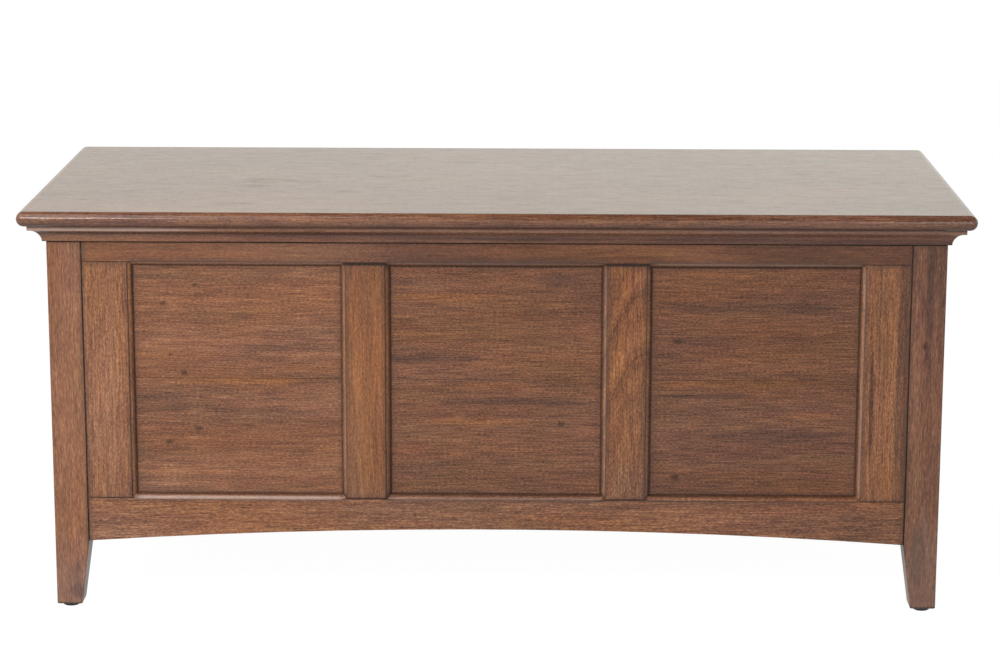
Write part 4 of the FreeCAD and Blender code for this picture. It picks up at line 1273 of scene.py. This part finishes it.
@dataclass
class SideFrame:
    """One end of the case: two rails, two stiles and a panel."""

    hand: str
    seed: int
    easing: Easing = Easing(("-X", "+X"), width=0.8 * MM)

    def build(self) -> None:
        """Works the boards and finishes them."""
        ends = (Seam("Y", LAYOUT.front_leg_back), Seam("Y", LAYOUT.rear_leg_front))
        joints = (Seam("Z", LAYOUT.lower_joint), Seam("Z", LAYOUT.upper_joint))
        opening = LAYOUT.opening(f"{self.hand}_panel", "YZ")
        for seed, (part, grain, seams) in enumerate((
                ("top_rail", Grain.SIDE_LEVEL, (*ends, joints[1], Seam("Z", LAYOUT.top))),
                ("bottom_rail", Grain.SIDE_LEVEL, (*ends, joints[0])),
                ("front_stile", Grain.SIDE_UPRIGHT, (ends[0], *joints)),
                ("rear_stile", Grain.SIDE_UPRIGHT, (ends[1], *joints))), start=self.seed):
            wood = Wood(grain, seed, gold=0.2, seams=seams, openings=(opening,))
            Board(f"{self.hand}_{part}", wood, self.easing).build("case", "case_wood")
        wood = Wood(Grain.SIDE_UPRIGHT, self.seed + 4, seams=opening.seams(1.0 * MM))
        Board(f"{self.hand}_panel", wood).build("case", "panel_wood")


@dataclass
class BackFrame:
    """The back of the case: two rails, a muntin and two thin panels."""

    easing: Easing = Easing(("-Y", "+Y"), width=0.8 * MM)

    def build(self) -> None:
        """Works the boards and finishes them."""
        ends = (Seam("X", -LAYOUT.leg_inner), Seam("X", LAYOUT.leg_inner))
        joints = (Seam("Z", LAYOUT.sill), Seam("Z", LAYOUT.back_head))
        sides = tuple(Seam("X", corner.x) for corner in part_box("back_muntin"))
        for seed, (node, grain, seams) in enumerate((
                ("back_top_rail", Grain.FRONT_LEVEL, (*ends, joints[1])),
                ("back_bottom_rail", Grain.FRONT_LEVEL, (*ends, joints[0])),
                ("back_muntin", Grain.FRONT_UPRIGHT, (*sides, *joints))), start=51):
            wood = Wood(grain, seed, tone=-0.03, roughness=0.4, seams=seams)
            Board(node, wood, self.easing).build("case", "case_wood")
        for seed, node in enumerate(("back_panel_left", "back_panel_right"), start=55):
            wood = Wood(Grain.FRONT_LEVEL, seed, THIN_STAIN, roughness=0.45, seams=(*ends, *sides, *joints))
            Board(node, wood).build("case", "back_panel_wood")


@dataclass
class Bottom:
    """The cedar bottom of the chest and the four cleats under it.

    The end rails' inner faces stand back from the legs' by the recess.
    """

    easing: Easing = Easing(width=1.0 * MM)
    panel_easing: Easing = Easing(("+Z",), width=0.6 * MM)
    recess: float = 22.5 * MM

    def build(self) -> None:
        """Works the boards and finishes them."""
        end = LAYOUT.leg_inner + self.recess
        seams = (Seam("X", -end), Seam("X", end),
                 *(Seam("Y", corner.y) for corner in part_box("bottom_panel")))
        wood = Wood(Grain.FLAT_LENGTHWISE, 61, CEDAR, roughness=0.5, seams=seams)
        Board("bottom_panel", wood, self.panel_easing).build("case", "lining_wood")
        for seed, (node, grain) in enumerate((
                ("front_cleat", Grain.FLAT_LENGTHWISE), ("back_cleat", Grain.FLAT_LENGTHWISE),
                ("left_cleat", Grain.FLAT_CROSSWISE), ("right_cleat", Grain.FLAT_CROSSWISE)), start=62):
            wood = Wood(grain, seed, CEDAR, roughness=0.5)
            Board(node, wood, self.easing).build("case", "lining_wood")


# ------------------------------------------------------------------ the lid


@dataclass
class Lid:
    """The lid's board, the moulded frame under it and two battens."""

    batten_easing: Easing = Easing(width=0.9 * MM)
    rail_easing: Easing = Easing(("+Y", "-Y"), width=0.6 * MM)

    def __post_init__(self) -> None:
        """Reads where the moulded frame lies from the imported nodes."""
        self.frame_low, self.frame_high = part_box("lid_moulding_front")
        self.under = Seam("Z", self.frame_high.z, 0.8 * MM, 5 * MM)

    def build(self) -> None:
        """Works the boards and finishes them."""
        self._top()
        self._mouldings()
        wood = Wood(Grain.FRONT_LEVEL, 75, seams=(self.under,))
        Board("lid_rear_rail", wood, self.rail_easing).build("lid", "case_wood")
        for seed, node in enumerate(("lid_batten_left", "lid_batten_right"), start=76):
            wood = Wood(Grain.FLAT_CROSSWISE, seed, CEDAR, roughness=0.5)
            Board(node, wood, self.batten_easing).build("lid", "lining_wood")

    def _top(self) -> None:
        """The board, shinier than the case, with a few smudges on it and painted shade on the underside of
        its nose, out past the frame.
        """
        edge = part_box("lid_top")[0].y
        front, left = self.frame_low.y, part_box("lid_moulding_left")[0].x
        back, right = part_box("lid_moulding_left")[1].y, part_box("lid_moulding_right")[1].x
        beyond = Opening("XY", ((left + right) / 2, (front + back) / 2),
                         ((right - left) / 2, (back - front) / 2))
        # its seam at the frame's top, kept to out past the frame, is painted shade on the underside of the
        # nose
        Board("lid_top", Wood(
            Grain.FLAT_LENGTHWISE, 71, LID_STAIN, tone=-0.15, gold=-0.7, figure=0.8, stipple=0.9,
            roughness=0.16, ior=1.5, relief=0.07, smears=0.3, beyond=beyond,
            seams=(Seam("Z", self.frame_high.z, 0.8 * MM, 10 * MM, 0.5, 0.5),),
            veils=(Veil(-0.14, edge, 0.24, 0.02, 0.05, 0.3),
                   Veil(0.50, edge, 0.42, 0.02, -0.02, -0.3),
                   Veil(-0.320, -0.025, 0.030, 0.034, dull=0.055),
                   Veil(-0.332, -0.066, 0.030, 0.016, dull=0.05),
                   Veil(-0.27, -0.020, 0.04, 0.014, dull=0.05),
                   Veil(-0.155, 0.024, 0.04, 0.014, dull=0.05),
                   Veil(-0.34, -0.195, 0.035, 0.016, dull=0.05),
                   Veil(-0.20, -0.107, 0.03, 0.014, dull=0.05)))).build("lid", "lid_wood")

    def _mouldings(self) -> None:
        """The front and side mouldings, the front one with painted highlights along its fillet and painted
        shade and light in its cove.
        """
        foot = Seam("Z", self.frame_low.z, 0.7 * MM, 3 * MM, dark=0.5)
        fillet, cove = self.frame_high.z - 2 * MM, self.frame_high.z - 10.5 * MM
        # painted light on the front moulding: highlights along the fillet, strongest at the left, and shade
        # and light in the cove that even out its shading
        painted_light = (Veil(-0.60, fillet - 2.5 * MM, 0.35, 4.6 * MM, 0.10, -0.6, 0.0, 0.60),
                  Veil(-0.10, fillet, 0.45, 2.6 * MM, 0.10, 0.2, 0.0, 0.14),
                  Veil(0.50, fillet, 0.35, 2.6 * MM, 0.05, -0.8, 0.0, 0.20),
                  Veil(0.30, fillet - 5.5 * MM, 0.62, 3 * MM, 0.14, 0.0, 0.0, 0.06),
                  Veil(0.15, cove - 2 * MM, 0.65, 7 * MM, -0.12, -0.4, 0.14),
                  Veil(0.35, cove - 8.5 * MM, 0.60, 5 * MM, -0.24, -0.5, 0.10),
                  Veil(-0.50, fillet - 8 * MM, 0.40, 2.8 * MM, -0.25, -0.8, 0.30),
                  Veil(-0.50, cove - 1 * MM, 0.36, 4 * MM, -0.02, -1.5, 0.10))
        for seed, (node, grain, runs, veils) in enumerate((
                ("lid_moulding_front", Grain.FRONT_LEVEL, "X", painted_light),
                ("lid_moulding_left", Grain.SIDE_LEVEL, "Y", ()),
                ("lid_moulding_right", Grain.SIDE_LEVEL, "Y", ())), start=72):
            wood = Wood(grain, seed, gold=-1.1, figure=0.7, stipple=0.55, seams=(self.under, foot),
                        veils=veils)
            Board(node, wood, Easing(runs=runs, width=0.5 * MM)).build("lid", "case_wood")


# ------------------------------------------------------------------ fittings


@dataclass
class Hinges:
    """Two brass butt hinges, each two leaves and a pin with button heads."""

    easing: Easing = Easing(width=0.2 * MM, segments=1)
    pin_radius: float = 1.8 * MM
    head_radius: float = 2.8 * MM
    half_length: float = 38 * MM
    head_height: float = 1.6 * MM

    def build(self) -> None:
        """Works the leaves, turns the pins and plates them all."""
        brass = BRASS.material()
        pin = self._pin()
        for hand in ("left", "right"):
            for side, body in (("case", "case"), ("lid", "lid")):
                node = f"hinge_{side}_leaf_{hand}"
                leaf = eased_copy(node, f"{node}_plate", self.easing)
                settle(leaf, brass, body, node)
            node = f"hinge_pin_{hand}"
            low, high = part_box(node)
            placed = set_out(pin, f"{node}_turned", [((low + high) / 2, (1, 0, 0))])
            settle(placed, brass, "case", node)
        discard(pin)

    def _pin(self) -> bpy.types.Object:
        """A pin with a rounded button on each end.

        Returns:
            The pin, upright through the origin.
        """
        end, cap = self.half_length, self.head_height
        button = [(0.0, self.pin_radius), (0.0, self.head_radius), (0.3 * cap, self.head_radius),
                  (0.6 * cap, 0.86 * self.head_radius), (0.85 * cap, 0.6 * self.head_radius),
                  (cap, 0.25 * self.head_radius)]
        lower = [(-end - height, radius) for height, radius in reversed(button)]
        upper = [(end + height, radius) for height, radius in button]
        pin = turned("pin_model", lower + upper, 24)
        close_up()
        return pin


@dataclass
class LidStays:
    """Two folding stays: plates on the case and the lid, two arms each and an elbow rivet."""

    easing: Easing = Easing(width=0.35 * MM)
    rivet_radius: float = 3 * MM
    head_radius: float = 4.5 * MM
    head_height: float = 1.2 * MM

    def build(self) -> None:
        """Works the stamped parts, turns the rivets and plates them all."""
        steel = STEEL.material()
        for hand in ("left", "right"):
            for part, body in (("case_bracket", "case"), ("lid_bracket", "lid"),
                               ("upper_arm", f"stay_upper_{hand}"), ("lower_arm", f"stay_lower_{hand}")):
                node = f"stay_{part}_{hand}"
                piece = eased_copy(node, f"{node}_stamped", self.easing)
                settle(piece, steel, body, node)
            node = f"stay_elbow_rivet_{hand}"
            low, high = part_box(node)
            rivet = self._rivet((high.x - low.x) / 2)
            placed = set_out(rivet, f"{node}_turned", [((low + high) / 2, (1, 0, 0))])
            settle(placed, steel, f"stay_lower_{hand}", node)
            discard(rivet)

    def _rivet(self, half: float) -> bpy.types.Object:
        """A rivet with a domed head on each end.

        Args:
            half: Half its length, to each side of the origin.

        Returns:
            The rivet, upright through the origin.
        """
        under = half - self.head_height
        dome = [(under, self.rivet_radius), (under, self.head_radius),
                (under + 0.35 * self.head_height, 0.97 * self.head_radius),
                (under + 0.7 * self.head_height, 0.78 * self.head_radius),
                (under + 0.92 * self.head_height, 0.5 * self.head_radius),
                (half, 0.2 * self.head_radius)]
        rivet = turned("rivet_model", [(-height, radius) for height, radius in reversed(dome)] + dome, 32)
        close_up()
        return rivet


@dataclass
class Screws:
    """The countersunk screws of the hinges and stays, with cross recesses and rolled threads."""

    head_radius: float = 3.9 * MM
    head_height: float = 1.9 * MM
    shank_radius: float = 2 * MM
    length: float = 16 * MM
    tip: float = 4 * MM
    pitch: float = 1.6 * MM
    hinge_spacing: float = 26 * MM
    leaf_width: float = 19 * MM
    lid_plate_spacing: float = 28 * MM
    lid_plate_drop: float = 5.5 * MM
    case_plate_spacing: float = 30 * MM
    plate: float = 2 * MM
    turns: int = 5
    sides: int = 24
    recess_depth: float = 1.3 * MM
    recess_reach: float = 0.58
    recess_waist: float = 0.22

    def build(self) -> None:
        """Models one screw and sets the two groups out."""
        steel = SCREW_STEEL.material()
        model = self._model()
        for node, body, spots in (("case_screws", "case", self._in_case()),
                                  ("lid_screws", "lid", self._in_lid())):
            settle(set_out(model, f"{node}_driven", spots), steel, body, node)
        discard(model)

    def _hinge_row(self, leaf: str) -> list[tuple[float, float]]:
        """The places of a leaf's three screws.

        Args:
            leaf: The leaf's node.

        Returns:
            How far across and back each one is.
        """
        low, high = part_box(leaf)
        return [((low.x + high.x) / 2 + step * self.hinge_spacing, low.y + self.leaf_width / 2)
                for step in (-1, 0, 1)]

    def _in_case(self) -> list[tuple[Spot, Spot]]:
        """Where the case's screws stand.

        Returns:
            Each one's place, and which way its head faces.
        """
        spots = []
        for hand, x_hand in (("left", -1), ("right", 1)):
            spots += [((across, back, LAYOUT.top), (0, 0, 1))
                      for across, back in self._hinge_row(f"hinge_case_leaf_{hand}")]
            low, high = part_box(f"stay_case_bracket_{hand}")
            face = (high.x if x_hand > 0 else low.x) - x_hand * self.plate
            middle = (low + high) / 2
            spots += [((face, middle.y, middle.z + step * self.case_plate_spacing / 2), (-x_hand, 0, 0))
                      for step in (-1, 1)]
        return spots

    def _in_lid(self) -> list[tuple[Spot, Spot]]:
        """Where the lid's screws stand.

        Returns:
            Each one's place, and which way its head faces.
        """
        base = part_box("lid_screws")[0].z
        spots = []
        for hand, x_hand in (("left", -1), ("right", 1)):
            spots += [((across, back, base), (0, 0, -1))
                      for across, back in self._hinge_row(f"hinge_lid_leaf_{hand}")]
            low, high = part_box(f"stay_lid_bracket_{hand}")
            face = (high.x if x_hand > 0 else low.x) - x_hand * self.plate
            spots += [((face, (low.y + high.y) / 2 + step * self.lid_plate_spacing / 2,
                        high.z - self.lid_plate_drop), (-x_hand, 0, 0)) for step in (-1, 1)]
        return spots

    def _model(self) -> bpy.types.Object:
        """One screw with its thread and its cross recess.

        Returns:
            The screw, point down, its head's face at the origin.
        """
        height = self.tip - self.length
        profile = [(-self.length, 0.25 * self.shank_radius)]
        for _ in range(self.turns):
            profile += [(height, 0.72 * self.shank_radius), (height + 0.5 * self.pitch, self.shank_radius)]
            height += self.pitch
        face = 0.92 * self.head_radius
        profile += [(height, 0.8 * self.shank_radius), (-self.head_height, self.shank_radius),
                    (-0.2 * MM, 0.97 * self.head_radius), (0.0, face)]
        screw = turned("screw_model", profile, self.sides)
        self._recess(screw, face)
        close_up(math.radians(32))
        return screw

    def _recess(self, screw: bpy.types.Object, face: float) -> None:
        """Sinks a cross into the head of the screw in edit mode, whose last face is picked.

        Args:
            screw: The screw.
            face: The radius of its head's face.
        """
        rim, waist = self.recess_reach * self.head_radius, self.recess_waist * self.head_radius
        bpy.ops.mesh.extrude_region_move(TRANSFORM_OT_translate={"value": (0, 0, 0)})
        self._narrow(rim / face)

        def between_arms(vertex: bmesh.types.BMVert) -> bool:
            """Whether a vertex of the recess's rim lies between the cross's arms.

            Args:
                vertex: The vertex.

            Returns:
                True where it does.
            """
            flat = Vector((abs(vertex.co.x), abs(vertex.co.y)))
            return (abs(vertex.co.z) < 0.01 * MM and abs(flat.length - rim) < 0.05 * MM
                    and min(flat) > 0.4 * rim)
        pick(screw, "VERT", between_arms)
        self._narrow(waist / rim)
        pick(screw, "FACE", lambda side: (len(side.verts) == self.sides
                                          and side.calc_center_median().z > -0.01 * MM))
        bpy.ops.mesh.extrude_region_move(TRANSFORM_OT_translate={"value": (0, 0, -self.recess_depth)})
        self._narrow(0.5, -self.recess_depth)

    def _narrow(self, scale: float, height: float = 0.0) -> None:
        """Draws what is selected in towards the screw's axis."""
        bpy.ops.transform.resize(value=(scale, scale, 1), center_override=(0, 0, height))


@dataclass
class Feet:
    """The nail-on glides under the legs and the pads under the lid."""

    glide_radius: float = 11 * MM
    glide_height: float = 5 * MM
    stem_radius: float = 3 * MM
    stem_top: float = 20 * MM
    pad_radius: float = 5 * MM
    pad_height: float = 1 * MM

    def build(self) -> None:
        """Turns a glide and a pad and sets them out."""
        for model, node, radius, material, body, slot in (
                (self._glide(), "foot_glides", self.glide_radius, NYLON, "case", "glide_plastic"),
                (self._pad(), "lid_bumpers", self.pad_radius, PAD, "lid", "bumper_rubber")):
            placed = set_out(model, f"{node}_moulded", self._at_corners(node, radius))
            settle(placed, material.material(), body, node)
            discard(model)

    def _at_corners(self, node: str, inset: float) -> list[tuple[Spot, Spot]]:
        """The four spots near the corners of a node's box.

        Args:
            node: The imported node.
            inset: How far in from the box's sides they are.

        Returns:
            Each one's place at the foot of the box, and the way up.
        """
        low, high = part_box(node)
        return [((x, y, low.z), (0, 0, 1)) for x in (low.x + inset, high.x - inset)
                for y in (low.y + inset, high.y - inset)]

    def _glide(self) -> bpy.types.Object:
        """A rounded glide with a nail for a stem.

        Returns:
            The glide, standing at the origin.
        """
        radius, height = self.glide_radius, self.glide_height
        glide = turned("glide_model", [
            (0.0, radius - 2.4 * MM), (0.3 * MM, radius - 1.2 * MM), (0.9 * MM, radius - 0.35 * MM),
            (1.7 * MM, radius), (height - 0.5 * MM, radius), (height, radius - 0.4 * MM),
            (height, self.stem_radius + 0.6 * MM), (height + 0.8 * MM, self.stem_radius),
            (self.stem_top - 3 * MM, self.stem_radius), (self.stem_top, 0.3 * self.stem_radius)], 40)
        close_up()
        return glide

    def _pad(self) -> bpy.types.Object:
        """A pad that the lid closes on.

        Returns:
            The pad, standing at the origin.
        """
        radius, height = self.pad_radius, self.pad_height
        pad = turned("pad_model", [
            (0.0, radius - 0.9 * MM), (0.15 * height, radius - 0.45 * MM), (0.45 * height, radius - 0.1 * MM),
            (0.7 * height, radius), (height, radius)], 32)
        close_up()
        return pad


# ------------------------------------------------------------------ studio


@dataclass(frozen=True)
class Lamp:
    """A soft lamp: where it stands, what it points at, how wide and high it is and how strong."""

    name: str
    place: Spot
    target: Spot
    width: float
    height: float
    power: float

    def light(self) -> None:
        """Puts the lamp into the scene."""
        data = bpy.data.lights.new(self.name, "AREA")
        data.shape = "RECTANGLE"
        data.size = self.width
        data.size_y = self.height
        data.energy = self.power
        lamp = bpy.data.objects.new(self.name, data)
        bpy.context.scene.collection.objects.link(lamp)
        lamp.location = self.place
        lamp.rotation_mode = "QUATERNION"
        lamp.rotation_quaternion = (Vector(self.target) - Vector(self.place)).to_track_quat("-Z", "Y")


@dataclass(frozen=True)
class Studio:
    """The floor, the pale walls and darker ceiling round the chest, the lamps and the camera."""

    floor_reach: float = 60.0
    wall_white: Colour = (1.0, 0.99, 0.91)
    floor_white: float = 0.6
    floor_glow: float = 0.85
    floor_sheen: float = 0.45
    floor_level: float = 1.15
    room_light: float = 0.33
    wall_top: float = 0.36
    ceiling_edge: float = 0.62
    ceiling: float = 0.08
    wall_level: float = 1.08
    right_wall: float = 0.3
    camera_place: Spot = (0.05085, -3.89140, 1.18017)
    camera_yaw: float = math.radians(-0.7170)
    camera_pitch: float = math.radians(12.4984)
    camera_roll: float = math.radians(-0.1312)
    lens: float = 104.73
    lamps: tuple[Lamp, ...] = (
        Lamp("key_lamp", (-1.3, -1.25, 1.9), (-0.1, -0.25, 0.3), 2.2, 2.2, 32),
        Lamp("front_lamp", (-1.65, -3.0, 1.95), (-0.1, -0.25, 0.4), 1.6, 0.3, 48),
        Lamp("side_lamp", (1.6, -3.0, 1.25), (0.1, -0.25, 0.4), 1.6, 0.08, 11),
    )

    def build(self) -> None:
        """Builds the whole studio."""
        self._floor()
        self._surroundings()
        for lamp in self.lamps:
            lamp.light()
        self._camera()

    def _floor(self) -> None:
        """A plain pale floor that keeps the chest's soft shadow."""
        bpy.ops.object.select_all(action="DESELECT")
        bpy.ops.mesh.primitive_plane_add(size=self.floor_reach, location=(0, 0, 0))
        floor = bpy.context.object
        floor.name = "studio_floor"
        material = bpy.data.materials.new("pale_floor")
        material.use_nodes = True
        tree = Tree(material.node_tree)
        matt = tree.node("ShaderNodeBsdfDiffuse", {}, {"Color": (self.floor_white,) * 3})
        glow = tree.node("ShaderNodeEmission", {}, {"Strength": self.floor_level})
        sheen = tree.signal("ShaderNodeLightPath", "Is Glossy Ray") * self.floor_sheen
        shown = (tree.background_view() * self.floor_glow).most(sheen)
        mixed = tree.node("ShaderNodeMixShader", {}, {0: shown, 1: matt.outputs[0], 2: glow.outputs[0]})
        tree.node("ShaderNodeOutputMaterial", {}, {"Surface": mixed.outputs[0]})
        floor.data.materials.append(material)

    def _surroundings(self) -> None:
        """White to look at, and in reflections white walls under a dimmer ceiling."""
        world = bpy.data.worlds.new("pale_studio")
        world.use_nodes = True
        bpy.context.scene.world = world
        tree = Tree(world.node_tree)
        towards = tree.parts("Generated")
        walls = towards["Z"].rise(self.ceiling_edge, self.wall_top) * (1 - self.ceiling) + self.ceiling
        mirrored = walls * (towards["X"] * self.right_wall + self.wall_level)
        seen = tree.background_view()
        glossy = tree.signal("ShaderNodeLightPath", "Is Glossy Ray")
        strength = seen + (1 - seen) * (glossy * mirrored + (1 - glossy) * self.room_light)
        colour = tree.mix(glossy * (1 - seen), (1.0, 1.0, 1.0), self.wall_white)
        background = tree.node("ShaderNodeBackground", {}, {"Color": colour, "Strength": strength})
        tree.node("ShaderNodeOutputWorld", {}, {"Surface": background.outputs[0]})

    def _camera(self) -> None:
        """The camera, looking a little down at the chest's front."""
        data = bpy.data.cameras.new("camera")
        data.lens = self.lens
        camera = bpy.data.objects.new("camera", data)
        bpy.context.scene.collection.objects.link(camera)
        yaw, pitch, roll = self.camera_yaw, self.camera_pitch, self.camera_roll
        ahead = Vector((math.sin(yaw) * math.cos(pitch), math.cos(yaw) * math.cos(pitch), -math.sin(pitch)))
        level = Vector((math.cos(yaw), -math.sin(yaw), 0))
        down = ahead.cross(level)
        right = level * math.cos(roll) + down * math.sin(roll)
        upright = level * math.sin(roll) - down * math.cos(roll)
        turn = Matrix((right, upright, -ahead)).transposed()
        camera.matrix_world = Matrix.Translation(self.camera_place) @ turn.to_4x4()
        bpy.context.scene.camera = camera


def main() -> None:
    """Builds the chest's looks and the studio round it."""
    logging.basicConfig(level=logging.INFO, format="%(name)s: %(message)s")
    bpy.context.scene.view_settings.view_transform = "Standard"
    for part in (Legs(), FrontFrame(), SideFrame("left", 31), SideFrame("right", 41), BackFrame(),
                 Bottom(), Lid(), Hinges(), LidStays(), Screws(), Feet(), Studio()):
        LOG.info("%s", type(part).__name__)
        part.build()


if __name__ == "__main__":
    main()
